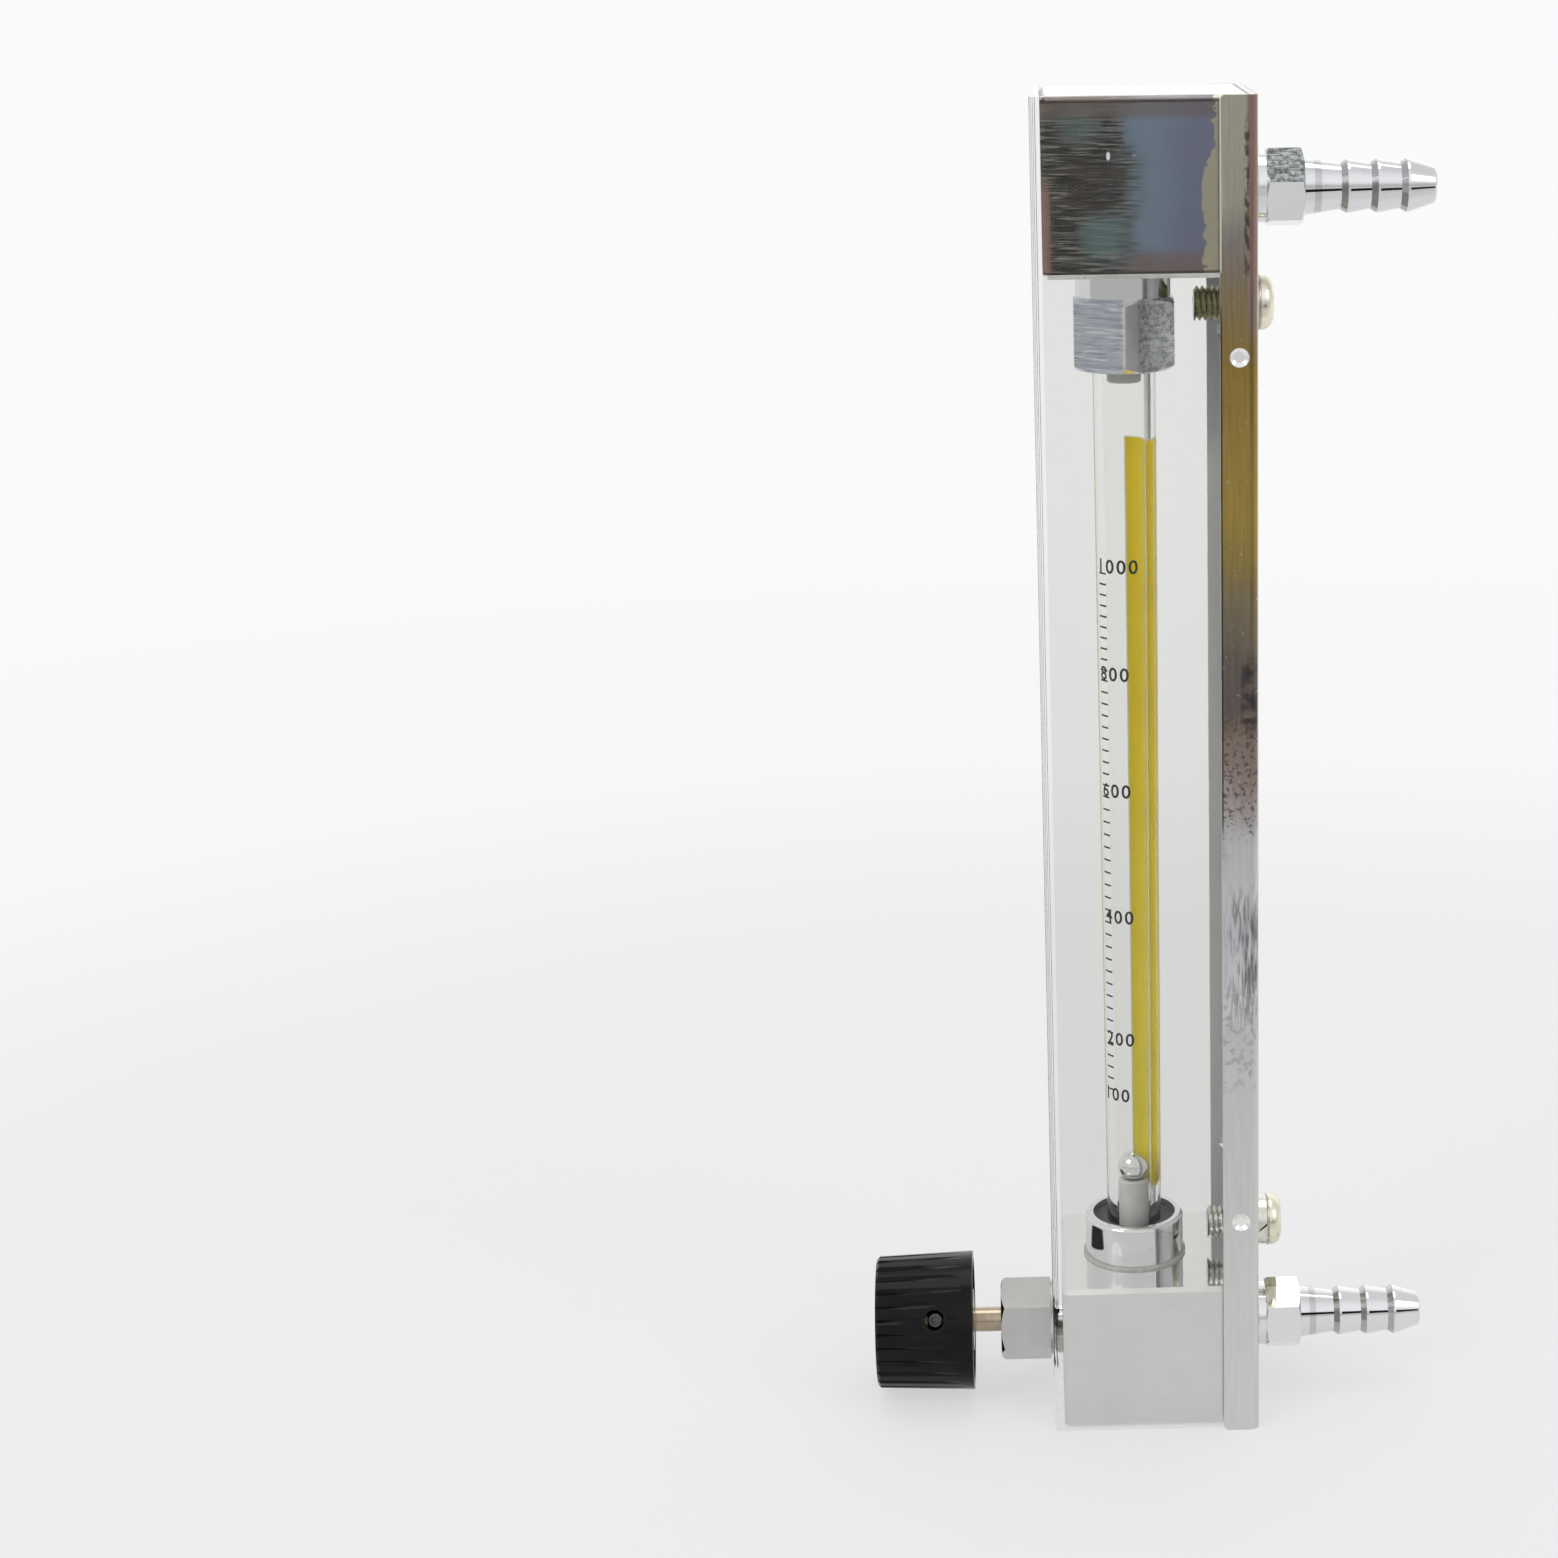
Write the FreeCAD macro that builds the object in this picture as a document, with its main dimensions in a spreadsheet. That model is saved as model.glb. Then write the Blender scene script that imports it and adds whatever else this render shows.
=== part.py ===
import FreeCAD, Part

import os
import re

import Sketcher

# Glass-tube rotameter with a needle valve, in millimetres.
# +Z is up, -X is the front with the knob, +X is the back with the hose barbs.
# The origin is where the tube's axis meets the underside of the lower block.

SIZES = {
    # the frame of the instrument
    "overall_height": 314.0,
    "block_width": 46.0,
    "block_front": 18.0,
    "lower_block_height": 36.0,
    "upper_block_height": 39.0,
    "block_bevel": 1.0,
    "channel_back": 28.7,
    "channel_sheet": 1.5,
    "channel_flange": 8.4,
    "channel_bend": 2.0,
    "channel_end_bevel": 0.9,
    "cover_front_wall": 2.3,
    "cover_side_wall": 2.0,
    "cover_corner": 1.6,
    "cover_slip": 0.1,
    "cover_end_gap": 0.6,
    "dimple_inset": 4.2,
    "dimple_mouth": 4.0,
    "dimple_floor": 2.4,
    "dimple_depth": 0.6,
    "dimple_gap": 0.15,
    "lower_dimple_level": 54.0,
    "upper_dimple_drop": 56.0,
    # clearances of turned fits, and small edges
    "slip": 0.05,
    "tube_room": 0.3,
    "edge_break": 0.4,
    "thread_lead": 0.7,
    "overrun": 1.0,
    # ports and hose barbs
    "upper_port_drop": 21.5,
    "port_thread": 13.0,
    "port_floor": 14.2,
    "port_bore": 7.0,
    "port_seal": 1.8,
    "barb_washer": 1.6,
    "barb_washer_width": 16.5,
    "barb_collar": 15.6,
    "barb_collar_length": 1.7,
    "barb_hex": 16.0,
    "barb_hex_length": 8.5,
    "barb_hex_chamfer": 1.2,
    "inlet_hex_turn": 1.9,
    "outlet_hex_turn": 41.4,
    "barb_bore": 5.5,
    "barb_root": 12.7,
    "barb_crest": 12.0,
    "barb_valley": 10.3,
    "barb_neck_length": 8.35,
    "barb_rise": 1.4,
    "barb_pitch": 6.7,
    "barb_land": 0.5,
    "barb_tip_wall": 1.35,
    "barb_tip_length": 6.6,
    # panel screws
    "lower_screw_rise": 7.0,
    "upper_screw_drop": 8.0,
    "screw_thread": 8.0,
    "screw_end": 15.9,
    "screw_head": 12.6,
    "screw_head_height": 3.6,
    "screw_head_round": 2.8,
    "recess_span": 6.4,
    "recess_arm": 1.5,
    "recess_depth": 1.8,
    "flat_washer": 1.6,
    "flat_washer_width": 12.0,
    "spring_washer": 2.0,
    "spring_washer_width": 12.2,
    "split_lean": 0.8,
    "split_gap": 0.6,
    "panel_nut_hex": 13.0,
    "panel_nut_height": 5.0,
    # glass tube
    "tube_sink": 1.5,
    "tube_foot_outer": 13.0,
    "tube_top_outer": 14.6,
    "tube_foot_bore": 8.2,
    "tube_top_bore": 9.8,
    "foot_seal": 1.5,
    # cup under the tube
    "joint_ring": 0.6,
    "joint_ring_lip": 0.55,
    "cup_width": 23.8,
    "cup_height": 9.9,
    "cup_wall": 1.9,
    "cup_mouth_depth": 6.5,
    "cup_rim_round": 1.1,
    "cup_shank": 18.0,
    "cup_ledge_bore": 9.6,
    "lower_packing_depth": 5.0,
    # float and its stops
    "ball_room": 0.65,
    "ball_gap": 0.3,
    "post_room": 0.9,
    "post_rise": 19.6,
    "post_dish": 5.0,
    "post_dish_depth": 1.3,
    "post_web": 1.6,
    "post_flange": 3.0,
    "riser_bore": 6.0,
    "flow_hole": 2.0,
    "flow_hole_circle": 8.4,
    "flow_hole_count": 6.0,
    "stop_room": 2.0,
    "stop_drop": 25.3,
    "stop_flange": 1.8,
    "stop_chamber": 15.6,
    "stop_chamber_height": 13.0,
    # upper gland
    "gland_hex": 22.5,
    "gland_drop": 22.3,
    "gland_hex_height": 16.4,
    "gland_chamfer": 1.0,
    "gland_shank": 21.6,
    "gland_shank_length": 12.0,
    "gland_ring": 1.5,
    "gland_depth": 12.0,
    # needle valve
    "bonnet_washer": 0.5,
    "bonnet_hex": 18.0,
    "bonnet_turn": 9.2,
    "bonnet_chamfer": 1.5,
    "bonnet_hex_length": 12.2,
    "bonnet_shank": 14.0,
    "bonnet_shank_length": 12.9,
    "bonnet_nose": 4.1,
    "bonnet_seal": 2.0,
    "chamber_bore": 10.4,
    "seat_thickness": 3.0,
    "seat_face": 4.0,
    "seat_bore": 3.4,
    "seat_lead": 0.6,
    "stem_width": 6.0,
    "stem_thread": 8.0,
    "stem_thread_tail": 1.0,
    "stem_in_knob": 16.0,
    "valve_travel": 3.0,
    "stem_end_play": 0.5,
    "seal_groove": 1.7,
    "seal_section": 1.2,
    "seal_setback": 3.0,
    "seal_spacing": 2.8,
    "needle_width": 4.6,
    "needle_shoulder": 2.5,
    "needle_tip": 1.0,
    "needle_reach": 2.4,
    # knob
    "knob_turn": 25.8,
    "knob_stand_off": 6.8,
    "knob_length": 23.6,
    "knob_back_width": 33.8,
    "knob_front_width": 32.0,
    "knob_rim": 1.8,
    "knob_hollow_depth": 4.6,
    "knob_hub": 15.0,
    "knob_draft": 0.4,
    "knob_face_rim": 3.0,
    "knob_face_recess": 0.8,
    "knob_edge_bevel": 0.7,
    "flute_count": 28.0,
    "flute_width": 1.9,
    "flute_depth": 0.7,
    "flute_stop": 2.6,
    "insert_width": 11.0,
    "insert_end_gap": 1.0,
    "set_screw_from_back": 9.2,
    "set_screw_thread": 4.0,
    "set_screw_length": 7.0,
    "set_screw_socket": 2.0,
    "set_screw_hole": 4.9,
    "set_screw_boss": 6.6,
    "set_screw_boss_height": 0.25,
}

document = FreeCAD.newDocument("rotameter")
sheet = document.addObject("Spreadsheet::Sheet", "sizes")
for row, (word, number) in enumerate(SIZES.items(), start=1):
    sheet.set(f"A{row}", word)
    sheet.set(f"B{row}", str(number))
    sheet.setAlias(f"B{row}", word)
document.recompute()

# Heights and depths that follow from the sizes, written as formulas on the sheet.
CHANNEL_WALL = "(channel_back - channel_sheet)"
COVER_INNER = "(block_width / 2 + cover_slip)"
COVER_OUTER = "(block_width / 2 + cover_slip + cover_side_wall)"
COVER_FRONT = "(block_front + cover_slip + cover_front_wall)"
FLANGE_INNER = "(block_width / 2 + 2 * cover_slip + cover_side_wall)"
FLANGE_OUTER = "(block_width / 2 + 2 * cover_slip + cover_side_wall + channel_sheet)"
DIMPLE_DEPTH_LINE = "(channel_back - dimple_inset)"
UPPER_DIMPLE_LEVEL = "(overall_height - upper_dimple_drop)"
LOWER_PORT_LEVEL = "(lower_block_height / 2)"
UPPER_PORT_LEVEL = "(overall_height - upper_port_drop)"
UPPER_BLOCK_FOOT = "(overall_height - upper_block_height)"
LOWER_SCREW_LEVEL = "(lower_block_height + lower_screw_rise)"
UPPER_SCREW_LEVEL = f"({UPPER_BLOCK_FOOT} - upper_screw_drop)"
CUP_FOOT = "(lower_block_height + joint_ring)"
CUP_RIM = f"({CUP_FOOT} + cup_height)"
CUP_MOUTH = "(cup_width - 2 * cup_wall)"
PACKING_FLOOR = f"({CUP_RIM} - cup_mouth_depth)"
POST_FOOT = f"({LOWER_PORT_LEVEL} + bonnet_shank / 2 + post_web)"
CUP_SHANK_END = f"({POST_FOOT} + post_flange)"
POST_TOP = "(lower_block_height + post_rise)"
POST_WIDTH = "(tube_foot_bore - post_room)"
BALL_WIDTH = "(tube_foot_bore - ball_room)"
TUBE_FOOT = "(lower_block_height - tube_sink)"
CUP_LEDGE_TOP = f"({TUBE_FOOT} - foot_seal)"
GLAND_FOOT = f"({UPPER_BLOCK_FOOT} - gland_drop)"
GLAND_HEX_TOP = f"({GLAND_FOOT} + gland_hex_height)"
GLAND_SHANK_TOP = f"({GLAND_HEX_TOP} + gland_shank_length)"
GLAND_ROOF = f"({UPPER_BLOCK_FOOT} + gland_depth)"
STOP_END = f"({UPPER_BLOCK_FOOT} - stop_drop)"
STOP_WIDTH = "(tube_top_bore - stop_room)"
STOP_ROOF = f"({GLAND_ROOF} + stop_chamber_height)"
BARB_START = "(channel_back + barb_washer)"
BARB_HEX_START = f"({BARB_START} + barb_collar_length)"
BARB_HEX_END = f"({BARB_HEX_START} + barb_hex_length)"
SPRING_WASHER_SEAT = "(channel_back + flat_washer)"
LOWER_HEAD_SEAT = f"({SPRING_WASHER_SEAT} + spring_washer)"
BONNET_SHOULDER = f"({COVER_FRONT} + bonnet_washer)"
BONNET_FACE = f"({BONNET_SHOULDER} + bonnet_hex_length)"
BONNET_END = f"({BONNET_SHOULDER} - bonnet_shank_length)"
STEM_THREAD_FACE = f"({BONNET_FACE} - bonnet_nose - valve_travel - stem_end_play)"
KNOB_BACK = f"({BONNET_FACE} + knob_stand_off)"
SCREW_LINE = f"({KNOB_BACK} + set_screw_from_back)"
STEM_FRONT = f"({KNOB_BACK} + stem_in_knob)"
INSERT_LENGTH = "(stem_in_knob + insert_end_gap)"
KNOB_TAPER = "((knob_back_width - knob_front_width) / 2 / knob_length)"
SCREW_TAPER = f"{KNOB_TAPER} * set_screw_from_back"
BARB_COUNT = 3


def tied(formula):
    """The formula as an expression on the sheet: each size's word gets the sheet's name."""
    def name(match):
        word = match.group()
        return "sizes." + word if word in SIZES else word
    return re.sub(r"[a-z][a-z0-9_]*", name, formula)


def worked_out(formula):
    """The formula's number now."""
    result = sheet.evalExpression(tied(formula))
    return float(getattr(result, "Value", result))


def tube_outer_at(level):
    """The tube's outer diameter at a level, from its taper."""
    climb = f"({level} - {TUBE_FOOT}) / ({GLAND_ROOF} - {TUBE_FOOT})"
    return f"(tube_foot_outer + (tube_top_outer - tube_foot_outer) * {climb})"


def new_body(label, along="0", level="0"):
    """A body with the sub-part's own label, placed along X and at a height of the sheet."""
    body = document.addObject("PartDesign::Body", label)
    body.Label = label
    body.setExpression("Placement.Base.x", tied(along))
    body.setExpression("Placement.Base.z", tied(level))
    return body


def turned_body(label, along):
    """A body on the valve's axis, turned with the knob so that its -Y side faces a little upwards."""
    body = new_body(label, along, LOWER_PORT_LEVEL)
    turn = FreeCAD.Rotation(FreeCAD.Vector(-1, 0, 0), worked_out("knob_turn"))
    body.Placement = FreeCAD.Placement(body.Placement.Base, turn)
    body.setExpression("Placement.Rotation.Angle", tied("knob_turn * 1 deg"))
    return body


def origin_part(body, role):
    for feature in body.Origin.OriginFeatures:
        if feature.Role == role:
            return feature
    raise ValueError(role)


def new_sketch(body, name, plane, shift=("0", "0", "0")):
    """A sketch on one of the body's own planes, shifted in the plane's own directions."""
    sketch = body.newObject("Sketcher::SketchObject", name)
    sketch.AttachmentSupport = [(origin_part(body, plane), "")]
    sketch.MapMode = "FlatFace"
    for direction, amount in zip("xyz", shift):
        sketch.setExpression(f"AttachmentOffset.Base.{direction}", tied(amount))
    return sketch


def hold(sketch, kind, geometry, point, formula):
    """A driving dimension from the sketch's origin, tied to the sheet."""
    index = sketch.addConstraint(Sketcher.Constraint(kind, geometry, point, worked_out(formula)))
    sketch.setExpression(f"Constraints[{index}]", tied(formula))


def outline(body, name, plane, corners, shift=("0", "0", "0")):
    """A closed outline whose corners are pairs of formulas, in the plane's own directions."""
    sketch = new_sketch(body, name, plane, shift)
    points = [FreeCAD.Vector(worked_out(across), worked_out(up), 0) for across, up in corners]
    count = len(points)
    for number in range(count):
        side = Part.LineSegment(points[number], points[(number + 1) % count])
        sketch.addGeometry(side, False)
    for number in range(count):
        following = (number + 1) % count
        sketch.addConstraint(Sketcher.Constraint("Coincident", number, 2, following, 1))
    for number, (across, up) in enumerate(corners):
        hold(sketch, "DistanceX", number, 1, across)
        hold(sketch, "DistanceY", number, 1, up)
    return sketch


def rings(body, name, plane, circles, shift=("0", "0", "0")):
    """Circles given as (across, up, diameter) formulas."""
    sketch = new_sketch(body, name, plane, shift)
    for number, (across, up, diameter) in enumerate(circles):
        centre = FreeCAD.Vector(worked_out(across), worked_out(up), 0)
        circle = Part.Circle(centre, FreeCAD.Vector(0, 0, 1), worked_out(diameter) / 2)
        sketch.addGeometry(circle, False)
        hold(sketch, "DistanceX", number, 3, across)
        hold(sketch, "DistanceY", number, 3, up)
        index = sketch.addConstraint(Sketcher.Constraint("Diameter", number, worked_out(diameter)))
        sketch.setExpression(f"Constraints[{index}]", tied(diameter))
    return sketch


def hexagon(body, name, plane, width, flats_across, shift=("0", "0", "0")):
    """A hexagon of a given width across flats; its flats face the plane's first direction or its second."""
    half = f"({width}) / 2"
    corner = f"({width}) / sqrt(3)"
    half_corner = f"({width}) / (2 * sqrt(3))"
    points = [
        ("0", corner), (f"-{half}", half_corner), (f"-{half}", f"-{half_corner}"),
        ("0", f"-{corner}"), (half, f"-{half_corner}"), (half, half_corner),
    ]
    if not flats_across:
        points = [(up, across) for across, up in points]
    return outline(body, name, plane, points, shift)


def turned_hexagon(body, name, width, turn, place):
    """A hexagon across the X axis, turned from a flat on its -Y side towards +Z."""
    sketch = hexagon(body, name, "YZ_Plane", width, True, ("0", "0", place))
    spin = FreeCAD.Rotation(FreeCAD.Vector(0, 0, -1), worked_out(turn))
    sketch.AttachmentOffset = FreeCAD.Placement(sketch.AttachmentOffset.Base, spin)
    sketch.setExpression("AttachmentOffset.Rotation.Angle", tied(f"{turn} * 1 deg"))
    return sketch


def pad(body, sketch, length, reverse=False):
    feature = body.newObject("PartDesign::Pad", sketch.Name + "_pad")
    feature.Profile = sketch
    feature.setExpression("Length", tied(length))
    feature.Reversed = reverse
    return feature


def pocket(body, sketch, length, reverse=False):
    feature = body.newObject("PartDesign::Pocket", sketch.Name + "_cut")
    feature.Profile = sketch
    feature.setExpression("Length", tied(length))
    feature.Reversed = reverse
    return feature


def turned(body, sketch, axis):
    """The outline turned round one of its sketch's own axes."""
    feature = body.newObject("PartDesign::Revolution", sketch.Name + "_turned")
    feature.Profile = sketch
    feature.ReferenceAxis = (sketch, [axis])
    feature.Angle = 360
    return feature


def turned_cut(body, sketch, axis):
    feature = body.newObject("PartDesign::Groove", sketch.Name + "_bored")
    feature.Profile = sketch
    feature.ReferenceAxis = (sketch, [axis])
    feature.Angle = 360
    return feature


def round_pattern(body, feature, role, count):
    """The feature repeated round one of the body's axes."""
    pattern = body.newObject("PartDesign::PolarPattern", feature.Name + "_round")
    pattern.Originals = [feature]
    pattern.Axis = (origin_part(body, role), [""])
    pattern.Angle = 360
    pattern.Occurrences = int(worked_out(count))
    body.Tip = pattern
    return pattern


def mirrored(body, features, role):
    """The features repeated on the other side of one of the body's planes."""
    mirror = body.newObject("PartDesign::Mirrored", body.Name + "_mirrored")
    mirror.Originals = features
    mirror.MirrorPlane = (origin_part(body, role), [""])
    body.Tip = mirror
    return mirror


def edges_where(feature, wanted):
    """Names of the feature's edges that the test picks."""
    document.recompute()
    return [
        f"Edge{number}" for number, edge in enumerate(feature.Shape.Edges, start=1)
        if wanted(edge.BoundBox, edge)
    ]


def eased(body, kind, feature, edges, amount):
    """A fillet or a chamfer on the named edges."""
    finish = body.newObject("PartDesign::" + kind, feature.Name + "_" + kind.lower())
    finish.Base = (feature, edges)
    finish.setExpression("Radius" if kind == "Fillet" else "Size", tied(amount))
    return finish


def near(first, second):
    return abs(first - second) < 0.01


def bore_along_x(body, name, start, end, diameter):
    """A round bore about the body's X axis between two depths."""
    radius = f"({diameter}) / 2"
    corners = [(start, "0"), (end, "0"), (end, radius), (start, radius)]
    return turned_cut(body, outline(body, name, "XZ_Plane", corners), "H_Axis")


def bore_along_z(body, name, foot, top, diameter):
    """A round bore about the body's Z axis between two levels."""
    radius = f"({diameter}) / 2"
    corners = [("0", foot), (radius, foot), (radius, top), ("0", top)]
    return turned_cut(body, outline(body, name, "XZ_Plane", corners), "V_Axis")


def ring_body(label, inner, outer, start, end, level="0", along_x=False):
    """A plain flat ring about the tube's axis, or about an axis along X at a level."""
    body = new_body(label, level=level)
    inside = f"({inner}) / 2"
    outside = f"({outer}) / 2"
    if along_x:
        corners = [(start, inside), (end, inside), (end, outside), (start, outside)]
    else:
        corners = [(inside, start), (outside, start), (outside, end), (inside, end)]
    turned(body, outline(body, label + "_section", "XZ_Plane", corners), "H_Axis" if along_x else "V_Axis")
    return body


def make_back_channel():
    """One folded U of plated sheet; two dimples in each flange snap into the cover."""
    body = new_body("back_channel")
    flange_front = "channel_back - channel_flange"
    section = outline(body, "channel_section", "XY_Plane", [
        (flange_front, f"-{FLANGE_OUTER}"), ("channel_back", f"-{FLANGE_OUTER}"),
        ("channel_back", FLANGE_OUTER), (flange_front, FLANGE_OUTER),
        (flange_front, FLANGE_INNER), (CHANNEL_WALL, FLANGE_INNER),
        (CHANNEL_WALL, f"-{FLANGE_INNER}"), (flange_front, f"-{FLANGE_INNER}"),
    ])
    folded = pad(body, section, "overall_height")
    back = worked_out("channel_back")
    wall = worked_out(CHANNEL_WALL)
    outer = worked_out(FLANGE_OUTER)
    inner = worked_out(FLANGE_INNER)
    height = worked_out("overall_height")

    def outer_fold(box, edge):
        return near(box.XMin, back) and near(abs(box.YMin), outer) and near(box.YMin, box.YMax)

    def inner_fold(box, edge):
        upright = box.ZLength > height / 2
        return upright and near(box.XMin, wall) and near(abs(box.YMin), inner)

    rounded = eased(body, "Fillet", folded, edges_where(folded, outer_fold), "channel_bend")
    bend = eased(
        body, "Fillet", rounded, edges_where(rounded, inner_fold), "channel_bend - channel_sheet")
    flange_tip = worked_out(flange_front)

    def flange_corner(box, edge):
        short = near(box.XLength, 0) and box.YLength < 2 * worked_out("channel_sheet")
        at_end = near(box.ZMin, 0) or near(box.ZMin, height)
        return short and at_end and near(box.XMin, flange_tip) and near(box.ZLength, 0)

    eased(body, "Chamfer", bend, edges_where(bend, flange_corner), "channel_end_bevel")
    holes = rings(body, "channel_holes", "YZ_Plane", [
        ("0", LOWER_PORT_LEVEL, "port_thread + 4 * slip"),
        ("0", UPPER_PORT_LEVEL, "port_thread + 4 * slip"),
        ("0", LOWER_SCREW_LEVEL, "screw_thread + 4 * slip"),
        ("0", UPPER_SCREW_LEVEL, "screw_thread + 4 * slip"),
    ], ("0", "0", "channel_back"))
    pocket(body, holes, "channel_sheet + channel_bend")
    pressed = []
    for end, level in (("lower", "lower_dimple_level"), ("upper", UPPER_DIMPLE_LEVEL)):
        place = (DIMPLE_DEPTH_LINE, "0", level)
        bulge = outline(body, f"{end}_bulge", "XY_Plane", [
            ("0", f"-{FLANGE_INNER}"), ("dimple_mouth / 2", f"-{FLANGE_INNER}"),
            ("dimple_floor / 2", f"-{FLANGE_INNER} + dimple_depth"), ("0", f"-{FLANGE_INNER} + dimple_depth"),
        ], place)
        pressed.append(turned(body, bulge, "V_Axis"))
        dent = outline(body, f"{end}_dent", "XY_Plane", [
            ("0", f"-{FLANGE_OUTER}"), ("dimple_mouth / 2", f"-{FLANGE_OUTER}"),
            ("dimple_floor / 2", f"-{FLANGE_OUTER} + dimple_depth"), ("0", f"-{FLANGE_OUTER} + dimple_depth"),
        ], place)
        pressed.append(turned_cut(body, dent, "V_Axis"))
    mirrored(body, pressed, "XZ_Plane")
    return body


def block_blank(label, foot, height):
    """A sawn and bevelled block between the cover's front and the channel's wall."""
    body = new_body(label)
    section = outline(body, label + "_section", "XY_Plane", [
        ("-block_front", "-block_width / 2"), (CHANNEL_WALL, "-block_width / 2"),
        (CHANNEL_WALL, "block_width / 2"), ("-block_front", "block_width / 2"),
    ], ("0", "0", foot))
    blank = pad(body, section, height)
    names = edges_where(blank, lambda box, edge: True)
    eased(body, "Chamfer", blank, names, "block_bevel")
    return body


def make_lower_block():
    """Inlet block: the port behind, the valve's chamber in front, the riser to the tube above."""
    body = block_blank("lower_block", "0", "lower_block_height")
    bore_along_z(body, "cup_socket", POST_FOOT, "lower_block_height", "cup_shank + 2 * slip")
    bore_along_z(body, "riser", LOWER_PORT_LEVEL, POST_FOOT, "riser_bore")
    level = LOWER_PORT_LEVEL
    steps = [
        ("valve_entry", "-block_front", f"-{BONNET_END} + bonnet_seal", "bonnet_shank + 2 * slip"),
        ("valve_chamber", f"-{BONNET_END}", "seat_face + seat_thickness", "chamber_bore"),
        ("inlet_bore", "seat_face", "port_floor", "seat_bore + 2 * slip"),
        ("inlet_port", "port_floor", CHANNEL_WALL, "port_thread + 2 * slip"),
    ]
    for name, start, end, diameter in steps:
        radius = f"({diameter}) / 2"
        corners = [(start, level), (end, level), (end, f"{level} + {radius}"), (start, f"{level} + {radius}")]
        sketch = outline(body, name, "XZ_Plane", [
            (across, f"{up} - {level}") for across, up in corners
        ], ("0", level, "0"))
        turned_cut(body, sketch, "H_Axis")
    return body


def make_upper_block():
    """Outlet block: the gland's socket below, a chamber round the float stop, the port behind."""
    body = block_blank("upper_block", UPPER_BLOCK_FOOT, "upper_block_height")
    bore_along_z(body, "gland_socket", UPPER_BLOCK_FOOT, GLAND_ROOF, "gland_shank + 2 * slip")
    bore_along_z(body, "stop_room", GLAND_ROOF, STOP_ROOF, "stop_chamber")
    steps = [
        ("outlet_bore", "0", "port_floor", "port_bore"),
        ("outlet_port", "port_floor", CHANNEL_WALL, "port_thread + 2 * slip"),
    ]
    for name, start, end, diameter in steps:
        radius = f"({diameter}) / 2"
        sketch = outline(body, name, "XZ_Plane", [
            (start, "0"), (end, "0"), (end, radius), (start, radius),
        ], ("0", UPPER_PORT_LEVEL, "0"))
        turned_cut(body, sketch, "H_Axis")
    return body


def make_clear_cover():
    """Extruded acrylic U: it slides inside the channel's flanges, and the bonnet passes its front."""
    body = new_body("clear_cover")
    inner_front = "(block_front + cover_slip)"
    back_end = f"({CHANNEL_WALL} - cover_end_gap)"
    section = outline(body, "cover_section", "XY_Plane", [
        (back_end, f"-{COVER_OUTER}"), (back_end, f"-{COVER_INNER}"),
        (f"-{inner_front}", f"-{COVER_INNER}"), (f"-{inner_front}", COVER_INNER),
        (back_end, COVER_INNER), (back_end, COVER_OUTER),
        (f"-{COVER_FRONT}", COVER_OUTER), (f"-{COVER_FRONT}", f"-{COVER_OUTER}"),
    ])
    extruded = pad(body, section, "overall_height")
    front = -worked_out(COVER_FRONT)

    def front_corner(box, edge):
        return box.ZLength > 1 and near(box.XMin, front) and near(box.XMax, front)

    eased(body, "Fillet", extruded, edges_where(extruded, front_corner), "cover_corner")
    hole = rings(body, "bonnet_hole", "YZ_Plane", [
        ("0", LOWER_PORT_LEVEL, "bonnet_shank + 2 * tube_room"),
    ], ("0", "0", f"-{COVER_FRONT}"))
    pocket(body, hole, "cover_front_wall + overrun", reverse=True)
    pressed = []
    for end, level in (("lower", "lower_dimple_level"), ("upper", UPPER_DIMPLE_LEVEL)):
        mouth = "(dimple_mouth / 2 + dimple_gap)"
        floor = "(dimple_floor / 2 + dimple_gap)"
        depth = "(dimple_depth - cover_slip + dimple_gap)"
        catch = outline(body, f"{end}_catch", "XY_Plane", [
            ("0", f"-{COVER_OUTER}"), (mouth, f"-{COVER_OUTER}"),
            (floor, f"-{COVER_OUTER} + {depth}"), ("0", f"-{COVER_OUTER} + {depth}"),
        ], (DIMPLE_DEPTH_LINE, "0", level))
        pressed.append(turned_cut(body, catch, "V_Axis"))
    mirrored(body, pressed, "XZ_Plane")
    return body


def make_glass_tube():
    """Metering tube, tapered inside and out, wider at the top."""
    body = new_body("glass_tube")
    wall = outline(body, "tube_wall", "XZ_Plane", [
        ("tube_foot_bore / 2", TUBE_FOOT), ("tube_foot_outer / 2", TUBE_FOOT),
        ("tube_top_outer / 2", GLAND_ROOF), ("tube_top_bore / 2", GLAND_ROOF),
    ])
    turned(body, wall, "V_Axis")
    return body


def make_float_ball():
    """Steel ball, at rest in the dish of its post."""
    ball = document.addObject("Part::Sphere", "float_ball")
    ball.Label = "float_ball"
    ball.setExpression("Radius", tied(f"{BALL_WIDTH} / 2"))
    rest = f"{POST_TOP} + sqrt(({BALL_WIDTH} / 2 + ball_gap)^2 - (post_dish / 2)^2)"
    ball.setExpression("Placement.Base.z", tied(rest))
    return ball


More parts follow.
